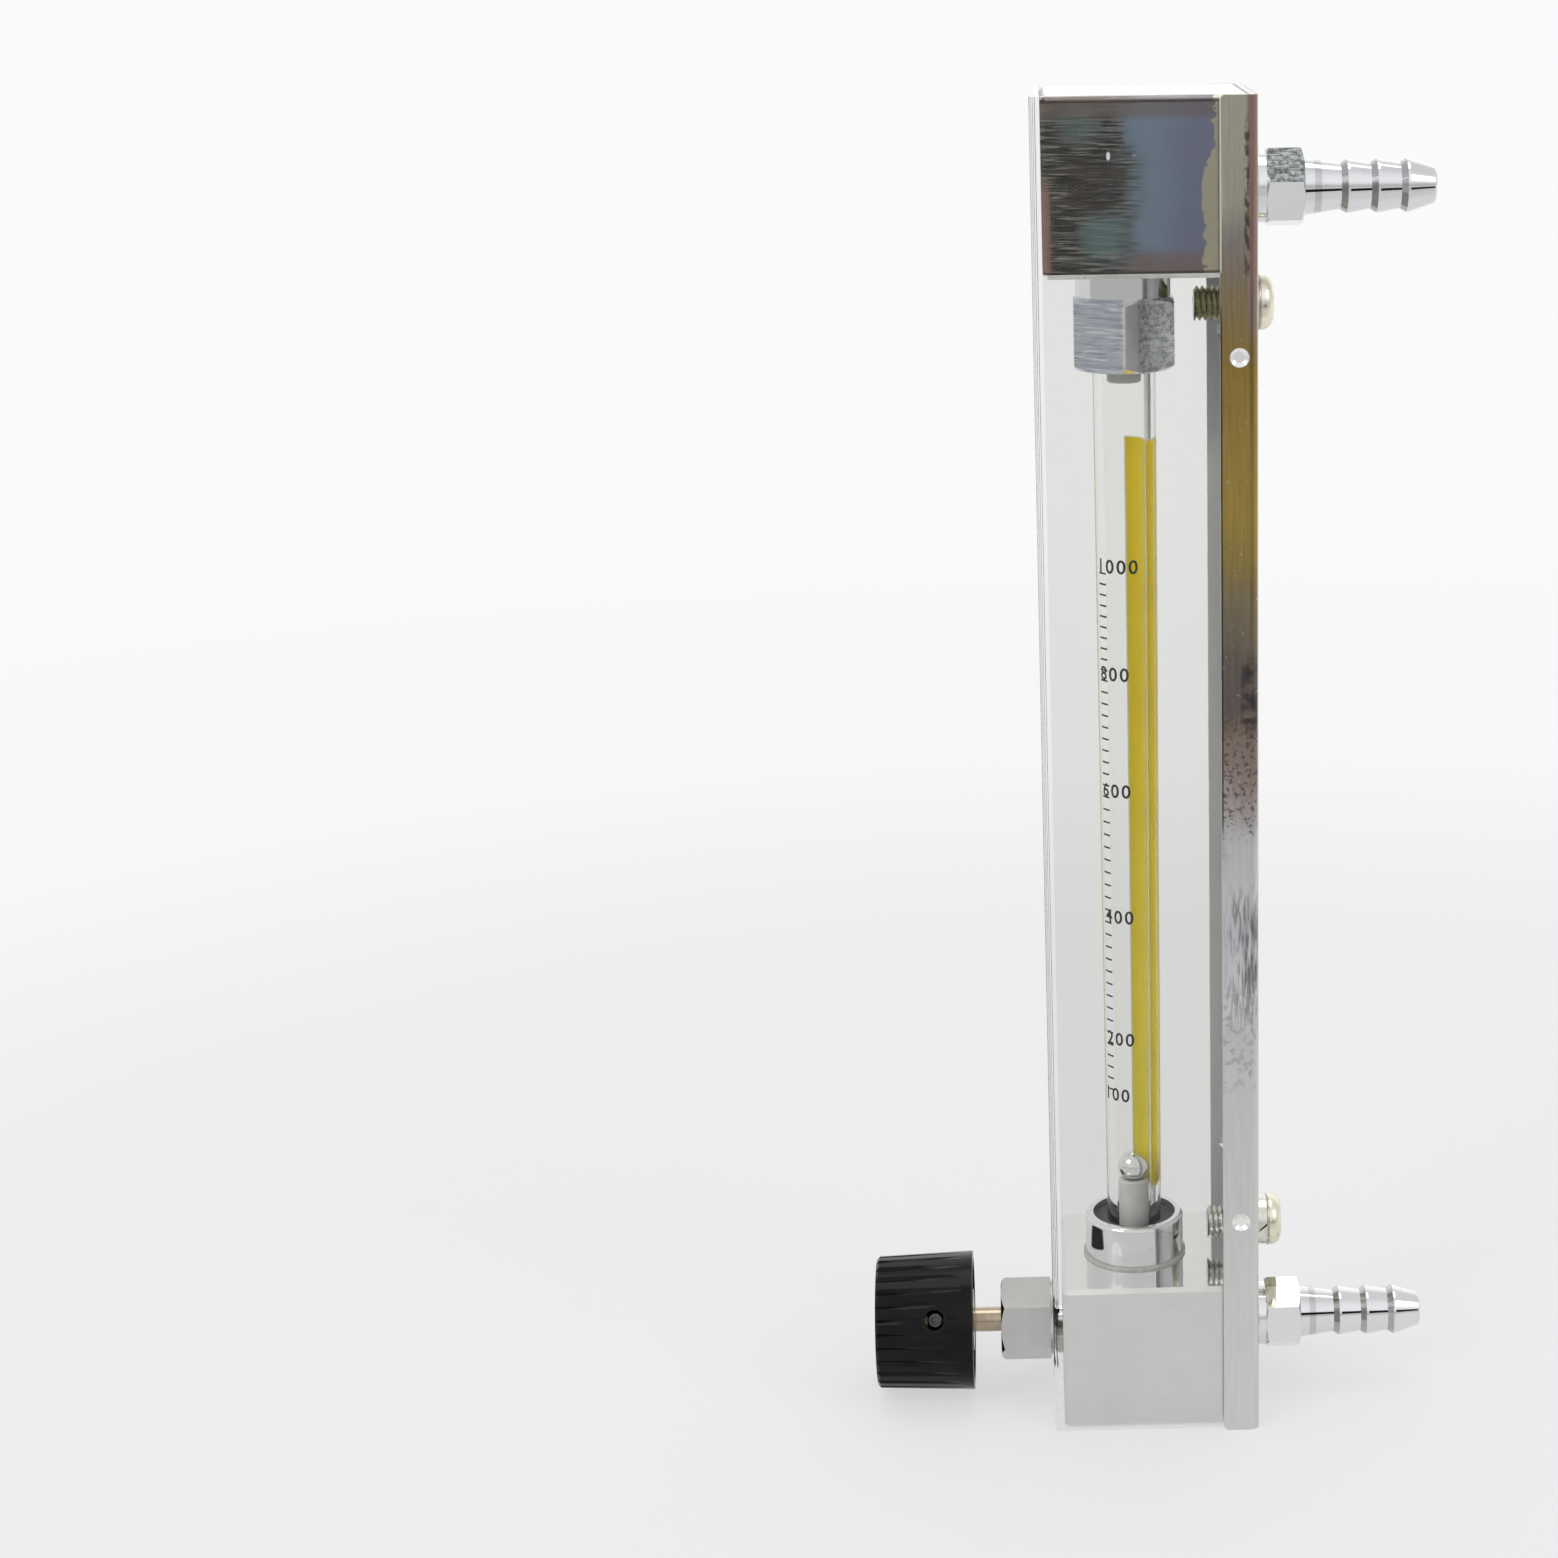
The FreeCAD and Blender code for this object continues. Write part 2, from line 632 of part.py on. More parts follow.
def make_float_post():
    """White plastic post on a drilled flange; the dish on its top stops the ball."""
    body = new_body("float_post")
    flange = "cup_shank / 2"
    post = f"{POST_WIDTH} / 2"
    relief = "flow_hole_circle / 2 + flow_hole"
    roof = f"{POST_FOOT} + post_flange / 2"
    section = outline(body, "post_section", "XZ_Plane", [
        ("0", roof), (relief, roof), (relief, POST_FOOT), (flange, POST_FOOT),
        (flange, CUP_SHANK_END), (post, CUP_SHANK_END),
        (post, f"{POST_TOP} - edge_break"), (f"{post} - edge_break", POST_TOP),
        ("post_dish / 2", POST_TOP), ("0", f"{POST_TOP} - post_dish_depth"),
    ])
    turned(body, section, "V_Axis")
    hole = rings(body, "post_flow", "XY_Plane", [
        ("flow_hole_circle / 2", "0", "flow_hole"),
    ], ("0", "0", CUP_SHANK_END))
    drilled = pocket(body, hole, "post_flange")
    round_pattern(body, drilled, "Z_Axis", "flow_hole_count")
    return body


def make_upper_float_stop():
    """Pale plastic rod that hangs in the tube's top from a drilled flange on the tube's end."""
    body = new_body("upper_float_stop")
    rod = f"{STOP_WIDTH} / 2"
    flange = "stop_chamber / 2 - slip"
    flange_top = f"{GLAND_ROOF} + stop_flange"
    end = f"{STOP_ROOF} - tube_room"
    section = outline(body, "stop_section", "XZ_Plane", [
        ("0", STOP_END), (f"{rod} - edge_break", STOP_END), (rod, f"{STOP_END} + edge_break"),
        (rod, GLAND_ROOF), (flange, GLAND_ROOF), (flange, flange_top), (rod, flange_top),
        (rod, end), ("0", end),
    ])
    turned(body, section, "V_Axis")
    hole = rings(body, "stop_flow", "XY_Plane", [
        (f"{rod} + flow_hole / 4", "0", "flow_hole"),
    ], ("0", "0", flange_top))
    drilled = pocket(body, hole, "stop_flange")
    round_pattern(body, drilled, "Z_Axis", "flow_hole_count")
    return body


def make_tube_cup():
    """Turned and polished cup, screwed into the lower block; the tube stands on its ledge."""
    body = new_body("tube_cup")
    guide = "tube_foot_outer / 2 + tube_room"
    mouth = f"{CUP_MOUTH} / 2"
    section = outline(body, "cup_section", "XZ_Plane", [
        ("cup_ledge_bore / 2", CUP_SHANK_END), ("cup_shank / 2", CUP_SHANK_END), ("cup_shank / 2", CUP_FOOT),
        ("cup_width / 2", CUP_FOOT), ("cup_width / 2", CUP_RIM), (mouth, CUP_RIM),
        (mouth, PACKING_FLOOR), (guide, PACKING_FLOOR), (guide, CUP_LEDGE_TOP),
        ("cup_ledge_bore / 2", CUP_LEDGE_TOP),
    ])
    cup = turned(body, section, "V_Axis")
    rim = worked_out(CUP_RIM)
    wide = worked_out("cup_width")

    def outer_rim(box, edge):
        return near(box.ZMin, rim) and near(box.ZMax, rim) and near(box.XLength, wide)

    eased(body, "Fillet", cup, edges_where(cup, outer_rim), "cup_rim_round")
    return body


def make_gland_nut():
    """Hexagon with a round shank that presses the packing when it is screwed into the block."""
    body = new_body("gland_nut")
    hex_sketch = hexagon(body, "gland_hexagon", "XY_Plane", "gland_hex", True, ("0", "0", GLAND_FOOT))
    pad(body, hex_sketch, "gland_hex_height")
    flat = "gland_hex / 2 - edge_break"
    beyond = "gland_hex / sqrt(3) + overrun"
    for name, level, inward in (("foot_bevel", GLAND_FOOT, "+"), ("top_bevel", GLAND_HEX_TOP, "-")):
        bevel = outline(body, name, "XZ_Plane", [
            (flat, level), (beyond, level), (beyond, f"{level} {inward} 2 * gland_chamfer"),
        ])
        turned_cut(body, bevel, "V_Axis")
    shank = "gland_shank / 2"
    neck = outline(body, "gland_neck", "XZ_Plane", [
        ("0", f"{GLAND_HEX_TOP} - overrun"), (shank, f"{GLAND_HEX_TOP} - overrun"),
        (shank, GLAND_SHANK_TOP), ("0", GLAND_SHANK_TOP),
    ])
    turned(body, neck, "V_Axis")
    bore = f"{tube_outer_at(GLAND_SHANK_TOP)} + 2 * tube_room"
    bore_along_z(body, "gland_bore", GLAND_FOOT, GLAND_SHANK_TOP, bore)
    return body


def make_hose_barb(label, level, turn):
    """Turned barb for a hose on a hexagon and a threaded shank; its sharp edges face the hexagon."""
    body = new_body(label, level=level)
    pad(body, turned_hexagon(body, label + "_hexagon", "barb_hex", turn, BARB_HEX_START), "barb_hex_length")
    flat = "barb_hex / 2 - slip"
    beyond = "barb_hex / sqrt(3) + overrun"
    for name, start, inward in (("inner_bevel", BARB_HEX_START, "+"), ("outer_bevel", BARB_HEX_END, "-")):
        bevel = outline(body, f"{label}_{name}", "XZ_Plane", [
            (start, flat), (start, beyond), (f"{start} {inward} barb_hex_chamfer", beyond),
        ])
        turned_cut(body, bevel, "H_Axis")
    shank_end = "(port_floor + port_seal)"
    thread = "port_thread / 2"
    points = [
        (shank_end, "barb_bore / 2"), (shank_end, f"{thread} - thread_lead"),
        (f"{shank_end} + thread_lead", thread), (BARB_START, thread), (BARB_START, "barb_collar / 2"),
        (f"{BARB_HEX_START} + overrun", "barb_collar / 2"), (f"{BARB_HEX_START} + overrun", thread),
        (f"{BARB_HEX_END} - overrun", thread), (f"{BARB_HEX_END} - overrun", "barb_root / 2"),
        (BARB_HEX_END, "barb_root / 2"),
    ]
    first = f"({BARB_HEX_END} + barb_neck_length)"
    for number in range(BARB_COUNT):
        valley = f"({first} + {number} * barb_pitch)"
        points.append((valley, "barb_valley / 2"))
        points.append((f"{valley} + barb_rise", "barb_crest / 2"))
        points.append((f"{valley} + barb_rise + barb_land", "barb_crest / 2"))
    tip = f"({first} + {BARB_COUNT - 1} * barb_pitch + barb_rise + barb_tip_length)"
    points.append((f"{tip} - edge_break", "barb_bore / 2 + barb_tip_wall"))
    points.append((tip, "barb_bore / 2 + barb_tip_wall - edge_break"))
    points.append((tip, "barb_bore / 2"))
    turned(body, outline(body, label + "_profile", "XZ_Plane", points), "H_Axis")
    bore_along_x(body, label + "_bore", shank_end, tip, "barb_bore")
    return body


def make_valve_bonnet():
    """Hexagon on a threaded shank: it clamps the cover's front and guides the stem."""
    body = new_body("valve_bonnet", level=LOWER_PORT_LEVEL)
    sketch = turned_hexagon(body, "bonnet_hexagon", "bonnet_hex", "bonnet_turn", f"-{BONNET_FACE}")
    pad(body, sketch, "bonnet_hex_length")
    beyond = "bonnet_hex / sqrt(3) + overrun"
    bevel = outline(body, "bonnet_bevel", "XZ_Plane", [
        (f"-{BONNET_FACE}", "bonnet_hex / 2 - slip"), (f"-{BONNET_FACE}", beyond),
        (f"-{BONNET_FACE} + bonnet_chamfer", beyond),
    ])
    turned_cut(body, bevel, "H_Axis")
    thread = "bonnet_shank / 2"
    shank = outline(body, "bonnet_shank_section", "XZ_Plane", [
        (f"-{BONNET_SHOULDER} - overrun", "0"), (f"-{BONNET_END}", "0"),
        (f"-{BONNET_END}", f"{thread} - thread_lead"), (f"-{BONNET_END} - thread_lead", thread),
        (f"-{BONNET_SHOULDER} - overrun", thread),
    ])
    turned(body, shank, "H_Axis")
    bore_along_x(
        body, "nose_bore", f"-{BONNET_FACE}", f"-{BONNET_FACE} + bonnet_nose", "stem_width + 2 * slip")
    bore_along_x(
        body, "thread_bore", f"-{BONNET_FACE} + bonnet_nose", f"-{BONNET_END}", "stem_thread + 2 * slip")
    return body


def seal_start(number):
    """Front edge of a stem seal's groove, before the tube's axis."""
    return f"({BONNET_END} + seal_setback + seal_groove + {number} * seal_spacing)"


def make_valve_stem():
    """Turned stem: plain rod in the knob, wider thread in the bonnet, two seal grooves, needle point."""
    body = new_body("valve_stem", level=LOWER_PORT_LEVEL)
    rod = "stem_width / 2"
    thread = "stem_thread / 2"
    groove = "(stem_thread / 2 - seal_section)"
    points = [
        (f"-{STEM_FRONT}", "0"), (f"-{STEM_FRONT}", f"{rod} - edge_break"),
        (f"-{STEM_FRONT} + edge_break", rod),
        (f"-{STEM_THREAD_FACE}", rod), (f"-{STEM_THREAD_FACE}", thread),
    ]
    for number in (1, 0):
        front = seal_start(number)
        points += [
            (f"-{front}", thread), (f"-{front}", groove),
            (f"-{front} + seal_groove", groove), (f"-{front} + seal_groove", thread),
        ]
    thread_end = f"-{BONNET_END} - stem_thread_tail"
    needle_end = "seat_face + needle_reach"
    points += [
        (thread_end, thread), (thread_end, "needle_width / 2"),
        ("seat_face - needle_shoulder", "needle_width / 2"), (needle_end, "needle_tip / 2"),
        (needle_end, "0"),
    ]
    turned(body, outline(body, "stem_section", "XZ_Plane", points), "H_Axis")
    return body


def make_valve_seat():
    """Bush pressed into the bottom of the valve's chamber, with a countersunk orifice."""
    body = new_body("valve_seat", level=LOWER_PORT_LEVEL)
    outer = "chamber_bore / 2 - slip"
    back = "seat_face + seat_thickness"
    section = outline(body, "seat_section", "XZ_Plane", [
        ("seat_face", "seat_bore / 2 + seat_lead"), ("seat_face + seat_lead", "seat_bore / 2"),
        (back, "seat_bore / 2"), (back, outer), ("seat_face", outer),
    ])
    turned(body, section, "H_Axis")
    return body


def make_valve_knob():
    """Moulded knob: slightly tapered, fluted nearly to the back, hollow behind, hub round the insert."""
    body = turned_body("valve_knob", f"-{KNOB_BACK}")
    front = "-knob_length"
    back_radius = "knob_back_width / 2"
    front_radius = "knob_front_width / 2"
    section = outline(body, "knob_section", "XZ_Plane", [
        ("0", "insert_width / 2"), ("0", "knob_hub / 2"), ("-knob_hollow_depth", "knob_hub / 2 + knob_draft"),
        ("-knob_hollow_depth", f"{back_radius} - knob_rim - knob_draft"), ("0", f"{back_radius} - knob_rim"),
        ("0", back_radius), (front, front_radius), (front, f"{front_radius} - knob_face_rim"),
        (f"{front} + knob_face_recess", f"{front_radius} - knob_face_rim - knob_face_recess"),
        (f"{front} + knob_face_recess", "0"), (f"-{INSERT_LENGTH}", "0"),
        (f"-{INSERT_LENGTH}", "insert_width / 2"),
    ])
    moulded = turned(body, section, "H_Axis")
    face = worked_out(front)
    wide = worked_out("knob_front_width")

    def front_edge(box, edge):
        return near(box.XMin, face) and near(box.XMax, face) and near(box.YLength, wide)

    eased(body, "Chamfer", moulded, edges_where(moulded, front_edge), "knob_edge_bevel")
    document.recompute()
    ends = (
        ("flute_front", front, front_radius, "flute_depth"),
        ("flute_back", "-flute_stop", f"({back_radius} - {KNOB_TAPER} * flute_stop)", "slip"),
    )
    sections = []
    for name, place, radius, depth in ends:
        sections.append(outline(body, name, "YZ_Plane", [
            ("0", f"{radius} - {depth}"), ("flute_width / 2", f"{radius} + slip"),
            ("flute_width / 2", f"{radius} + flute_depth"), ("-flute_width / 2", f"{radius} + flute_depth"),
            ("-flute_width / 2", f"{radius} + slip"),
        ], ("0", "0", place)))
    flute = body.newObject("PartDesign::SubtractiveLoft", "flute")
    flute.Profile = sections[0]
    flute.Sections = [sections[1]]
    flute.Ruled = True
    document.recompute()
    round_pattern(body, flute, "X_Axis", "flute_count")
    top = f"{back_radius} - {SCREW_TAPER} + set_screw_boss_height"
    boss = rings(body, "set_screw_boss", "XZ_Plane", [
        ("-set_screw_from_back", "0", "set_screw_boss"),
    ], ("0", "0", top))
    pad(body, boss, "knob_rim", reverse=True)
    hole = rings(body, "set_screw_way", "XZ_Plane", [
        ("-set_screw_from_back", "0", "set_screw_hole"),
    ], ("0", "0", top))
    pocket(body, hole, f"{top} - insert_width / 2 + overrun")
    return body


def make_knob_insert():
    """Brass bush moulded into the knob, bored for the stem and tapped for the set screw."""
    body = turned_body("knob_insert", f"-{KNOB_BACK}")
    section = outline(body, "insert_section", "XZ_Plane", [
        ("0", "stem_width / 2 + slip"), ("0", "insert_width / 2"),
        (f"-{INSERT_LENGTH}", "insert_width / 2"), (f"-{INSERT_LENGTH}", "stem_width / 2 + slip"),
    ])
    turned(body, section, "H_Axis")
    tapped = rings(body, "insert_tapping", "XZ_Plane", [
        ("-set_screw_from_back", "0", "set_screw_thread + 2 * slip"),
    ], ("0", "0", "insert_width"))
    pocket(body, tapped, "insert_width")
    return body


def make_knob_set_screw():
    """Socket set screw that grips the stem through the insert."""
    body = turned_body("knob_set_screw", f"-{SCREW_LINE}")
    foot = "(stem_width / 2 + slip)"
    head = f"({foot} + set_screw_length)"
    radius = "set_screw_thread / 2"
    section = outline(body, "set_screw_section", "XY_Plane", [
        ("0", f"-{foot}"), (f"{radius} - edge_break", f"-{foot}"), (radius, f"-{foot} - edge_break"),
        (radius, f"-{head} + edge_break"), (f"{radius} - edge_break", f"-{head}"), ("0", f"-{head}"),
    ])
    turned(body, section, "V_Axis")
    socket = hexagon(body, "set_screw_key", "XZ_Plane", "set_screw_socket", True, ("0", "0", head))
    pocket(body, socket, "set_screw_length / 2")
    return body


def copies(label, bodies):
    """Like pieces gathered in one node as a group of separate solids."""
    group = document.addObject("Part::Feature", label)
    group.Label = label
    document.recompute()
    group.Shape = Part.makeCompound([body.Shape for body in bodies])
    return group


def pan_head_screw(label, level, seat):
    """Pan-head screw with a cross recess, its thread left plain; both screws are one length."""
    body = new_body(label, level=level)
    thread = "screw_thread / 2"
    head = "screw_head / 2"
    top = f"{seat} + screw_head_height"
    end = f"{seat} - {SPRING_WASHER_SEAT} + screw_end"
    section = outline(body, label + "_section", "XZ_Plane", [
        (end, "0"), (end, f"{thread} - thread_lead"), (f"{end} + thread_lead", thread),
        (seat, thread), (seat, head), (top, head), (top, "0"),
    ])
    whole = turned(body, section, "H_Axis")
    far = worked_out(top)
    wide = worked_out("screw_head")

    def crown(box, edge):
        return near(box.XMin, far) and near(box.XMax, far) and near(box.YLength, wide)

    domed = eased(body, "Fillet", whole, edges_where(whole, crown), "screw_head_round")
    document.recompute()
    arm = "recess_arm / 2"
    span = "recess_span / 2"
    recess = outline(body, label + "_recess", "YZ_Plane", [
        (f"-{span}", f"-{arm}"), (f"-{arm}", f"-{arm}"), (f"-{arm}", f"-{span}"),
        (arm, f"-{span}"), (arm, f"-{arm}"), (span, f"-{arm}"),
        (span, arm), (arm, arm), (arm, span),
        (f"-{arm}", span), (f"-{arm}", arm), (f"-{span}", arm),
    ], ("0", "0", top))
    pocket(body, recess, "recess_depth")
    return body


def make_spring_washers():
    """Spring washer under the lower screw's head: a ring with a slanted slit on its -Y side."""
    start = SPRING_WASHER_SEAT
    end = LOWER_HEAD_SEAT
    body = ring_body(
        "spring_washers", "screw_thread + 4 * slip", "spring_washer_width", start, end,
        LOWER_SCREW_LEVEL, along_x=True)
    slit = outline(body, "spring_washer_slit", "XZ_Plane", [
        (start, "-split_lean"), (end, "split_lean"),
        (end, "split_lean + split_gap"), (start, "split_gap - split_lean"),
    ])
    pocket(body, slit, "spring_washer_width", reverse=True)
    return body


def weld_nut(label, level):
    """Hexagonal nut on the channel's wall, inside."""
    body = new_body(label, level=level)
    face = f"({CHANNEL_WALL} - panel_nut_height)"
    pad(body, hexagon(body, label + "_hexagon", "YZ_Plane", "panel_nut_hex", False, ("0", "0", face)),
        "panel_nut_height")
    bore_along_x(body, label + "_bore", face, CHANNEL_WALL, "screw_thread + 2 * slip")
    return body


LEVELS = {"lower": LOWER_PORT_LEVEL, "upper": UPPER_PORT_LEVEL}
SCREW_LEVELS = {"lower": LOWER_SCREW_LEVEL, "upper": UPPER_SCREW_LEVEL}
HEAD_SEATS = {"lower": LOWER_HEAD_SEAT, "upper": SPRING_WASHER_SEAT}

sub_parts = [
    make_back_channel(),
    make_lower_block(),
    make_upper_block(),
    make_clear_cover(),
    make_glass_tube(),
    make_float_ball(),
    make_float_post(),
    make_upper_float_stop(),
    make_tube_cup(),
    ring_body(
        "cup_joint_ring", "cup_shank + 2 * slip", "cup_width + 2 * joint_ring_lip",
        "lower_block_height", CUP_FOOT),
    ring_body("tube_foot_seal", "cup_ledge_bore", "tube_foot_outer + tube_room", CUP_LEDGE_TOP, TUBE_FOOT),
    ring_body(
        "lower_packing", f"{tube_outer_at(CUP_RIM)} + 2 * slip", f"{CUP_MOUTH} - 2 * slip",
        PACKING_FLOOR, f"{PACKING_FLOOR} + lower_packing_depth"),
    make_gland_nut(),
    ring_body(
        "gland_ring", f"{tube_outer_at(GLAND_ROOF)} + tube_room", "gland_shank - 2 * slip",
        GLAND_SHANK_TOP, f"{GLAND_SHANK_TOP} + gland_ring"),
    ring_body(
        "upper_packing", f"{tube_outer_at(GLAND_ROOF)} + 2 * slip", "gland_shank - 2 * slip",
        f"{GLAND_SHANK_TOP} + gland_ring", GLAND_ROOF),
    make_hose_barb("inlet_barb", LEVELS["lower"], "inlet_hex_turn"),
    make_hose_barb("outlet_barb", LEVELS["upper"], "outlet_hex_turn"),
    make_valve_bonnet(),
    ring_body(
        "bonnet_washer", "bonnet_shank + 2 * slip", "bonnet_hex", f"-{BONNET_SHOULDER}", f"-{COVER_FRONT}",
        LOWER_PORT_LEVEL, along_x=True),
    ring_body(
        "bonnet_seal", "chamber_bore", "bonnet_shank - 2 * slip", f"-{BONNET_END}",
        f"-{BONNET_END} + bonnet_seal", LOWER_PORT_LEVEL, along_x=True),
    make_valve_stem(),
    make_valve_seat(),
    make_valve_knob(),
    make_knob_insert(),
    make_knob_set_screw(),
    make_spring_washers(),
]

sub_parts.append(copies("stem_seals", [
    ring_body(
        f"stem_seal_{number}", "stem_thread - 2 * seal_section + 2 * slip", "stem_thread",
        f"-{seal_start(number)} + slip", f"-{seal_start(number)} + seal_groove - slip",
        LOWER_PORT_LEVEL, along_x=True)
    for number in (0, 1)
]))
sub_parts.append(copies("barb_washers", [
    ring_body(
        f"{end}_barb_washer", "port_thread + 2 * slip", "barb_washer_width", "channel_back", BARB_START,
        level, along_x=True)
    for end, level in LEVELS.items()
]))
sub_parts.append(copies("port_seals", [
    ring_body(
        f"{end}_port_seal", "port_bore", "port_thread - 2 * slip", "port_floor", "port_floor + port_seal",
        level, along_x=True)
    for end, level in LEVELS.items()
]))
sub_parts.append(copies("panel_screws", [
    pan_head_screw(f"{end}_panel_screw", level, HEAD_SEATS[end]) for end, level in SCREW_LEVELS.items()
]))
sub_parts.append(copies("panel_washers", [
    ring_body(
        f"{end}_panel_washer", "screw_thread + 4 * slip", "flat_washer_width",
        "channel_back", "channel_back + flat_washer", level, along_x=True)
    for end, level in SCREW_LEVELS.items()
]))
sub_parts.append(copies("panel_nuts", [
    weld_nut(f"{end}_panel_nut", level) for end, level in SCREW_LEVELS.items()
]))

document.recompute()
for item in document.Objects:
    if "Invalid" in item.State or "Error" in item.State:
        raise RuntimeError(f"{item.Label} failed: {item.State}")
os.makedirs("parts", exist_ok=True)
for part in sub_parts:
    if part.Shape.isNull() or not part.Shape.isValid():
        raise RuntimeError(f"{part.Label} has no valid shape")
    part.Shape.exportStep(f"parts/{part.Label}.step")
    print(part.Label, len(part.Shape.Solids), round(part.Shape.Volume, 1))
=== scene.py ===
import math

import bpy
from mathutils import Matrix, Vector


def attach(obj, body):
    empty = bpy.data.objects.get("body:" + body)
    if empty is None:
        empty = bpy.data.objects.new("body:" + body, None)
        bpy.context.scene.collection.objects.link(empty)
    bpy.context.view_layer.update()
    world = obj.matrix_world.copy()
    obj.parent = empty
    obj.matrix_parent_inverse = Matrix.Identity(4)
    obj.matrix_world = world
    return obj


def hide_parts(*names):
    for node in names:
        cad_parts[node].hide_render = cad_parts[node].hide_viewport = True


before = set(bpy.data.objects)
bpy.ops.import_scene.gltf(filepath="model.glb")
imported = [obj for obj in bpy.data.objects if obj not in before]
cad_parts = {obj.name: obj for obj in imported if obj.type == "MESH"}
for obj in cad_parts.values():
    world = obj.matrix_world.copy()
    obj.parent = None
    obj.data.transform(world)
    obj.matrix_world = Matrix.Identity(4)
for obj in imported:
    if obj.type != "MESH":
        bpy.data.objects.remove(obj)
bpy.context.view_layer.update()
bpy.ops.object.select_all(action="DESELECT")
scene = bpy.context.scene
scene.view_settings.view_transform = "Standard"
# light runs far along inside the clear cover before it leaves by an edge
scene.cycles.max_bounces = 40
scene.cycles.transmission_bounces = 40
scene.cycles.glossy_bounces = 12


# ---- The picture ----
# The camera stands level with the upper block and a little to the front, and looks down at the
# instrument's side. The picture is square, with the instrument on its right.
MM = 0.001
image_side = 1558
image_middle_x = 1133.24
image_scale = 2996.4
sensor = 36.0
camera_stand = (-21.0 * MM, -678.95 * MM, 345.03 * MM)
turned_left = math.radians(-1.862)
looking_down = math.radians(15.563)
leaning = math.radians(-0.681)

camera_data = bpy.data.cameras.new("camera")
camera_data.sensor_width = sensor
camera_data.lens = sensor * image_scale / image_side
camera_data.shift_x = (image_side / 2 - image_middle_x) / image_side
camera_data.clip_end = 200
camera = bpy.data.objects.new("camera", camera_data)
scene.collection.objects.link(camera)
heading = Matrix.Rotation(turned_left, 4, "Z")
tilt = Matrix.Rotation(math.radians(90) - looking_down, 4, "X")
roll = Matrix.Rotation(leaning, 4, "Z")
camera.matrix_world = Matrix.Translation(camera_stand) @ heading @ tilt @ roll
scene.camera = camera


# ---- The studio ----
# A wide pale floor, two soft lamps in front and one above, in a bright room. A dark card stands
# to the right of the camera, where the polished hose barbs show it as a thin dark line.
floor_width = 90.0
floor_reach = 8.0
floor_tones = [
    (0.0, (0.79, 0.79, 0.79)), (0.36, (0.80, 0.80, 0.80)), (0.60, (0.925, 0.925, 0.925)),
    (1.2, (0.96, 0.96, 0.96)), (8.0, (0.96, 0.96, 0.96)),
]
floor_paint_colour = (0.84, 0.84, 0.845)
floor_in_metal = (0.65, 0.65, 0.655)
lit_share = 0.72
lit_near, lit_far = 0.35, 1.0
card_middle = (0.44, -0.60, 0.135)
card_size = (0.54, 0.13, 1)
card_paint_colour = (0.012, 0.012, 0.014)
room_front = (0.80, 0.80, 0.808)
far_shade = (0.95, 0.95, 0.95)
back_wall_shade = (1.25, 1.25, 1.26)
room_heights = [
    (0.0, (0.52, 0.52, 0.53)), (0.10, (0.62, 0.62, 0.6324)), (0.26, (0.95, 0.95, 0.969)),
    (0.45, (1.05, 1.05, 1.071)), (1.0, (0.92, 0.93, 0.95)),
]
lamps = (
    ("lamp_left", (-1.3, -1.3, 1.5), 0.9, 9),
    ("lamp_right", (1.5, -0.9, 1.2), 0.7, 5),
    ("lamp_above", (0.1, 0.3, 2.2), 1.2, 8),
)
instrument_middle = (0, 0, 0.16)


def new_material(name, roughness, metallic=0.0, colour=(0.5, 0.5, 0.5)):
    """A material with its Principled node, ready for more nodes."""
    material = bpy.data.materials.new(name)
    material.use_nodes = True
    tree = material.node_tree
    shader = tree.nodes["Principled BSDF"]
    shader.inputs["Base Color"].default_value = (*colour, 1)
    shader.inputs["Roughness"].default_value = roughness
    shader.inputs["Metallic"].default_value = metallic
    return material, tree, shader


def axis_of(tree, vector, letter):
    """One coordinate of a vector."""
    split = tree.nodes.new("ShaderNodeSeparateXYZ")
    tree.links.new(vector, split.inputs[0])
    return split.outputs[letter]


def ramp(tree, value, stops, low=0.0, high=1.0):
    """Colours at places between low and high; the stops give the places in the same measure."""
    spread = tree.nodes.new("ShaderNodeMapRange")
    spread.inputs["From Min"].default_value = low
    spread.inputs["From Max"].default_value = high
    tree.links.new(value, spread.inputs["Value"])
    colours = tree.nodes.new("ShaderNodeValToRGB")
    elements = colours.color_ramp.elements
    elements.remove(elements[0])
    for number, (place, colour) in enumerate(stops):
        share = (place - low) / (high - low)
        element = elements[0] if number == 0 else elements.new(share)
        element.position = share
        element.color = (*colour, 1)
    tree.links.new(spread.outputs[0], colours.inputs["Fac"])
    return colours.outputs["Color"]


def mixed(tree, mask, first, second, blend="MIX"):
    """Two colours mixed by a mask; each may be a colour or another node's output."""
    mix = tree.nodes.new("ShaderNodeMix")
    mix.data_type = "RGBA"
    mix.blend_type = blend
    if isinstance(mask, float):
        mix.inputs["Factor"].default_value = mask
    else:
        tree.links.new(mask, mix.inputs["Factor"])
    for socket, colour in (("A", first), ("B", second)):
        if isinstance(colour, tuple):
            mix.inputs[socket].default_value = (*colour, 1)
        else:
            tree.links.new(colour, mix.inputs[socket])
    return mix.outputs["Result"]


def figured(tree, operation, first, second):
    """A sum on two numbers; each may be a number or another node's output."""
    step = tree.nodes.new("ShaderNodeMath")
    step.operation = operation
    for number, value in enumerate((first, second)):
        if isinstance(value, (int, float)):
            step.inputs[number].default_value = value
        else:
            tree.links.new(value, step.inputs[number])
    return step.outputs[0]


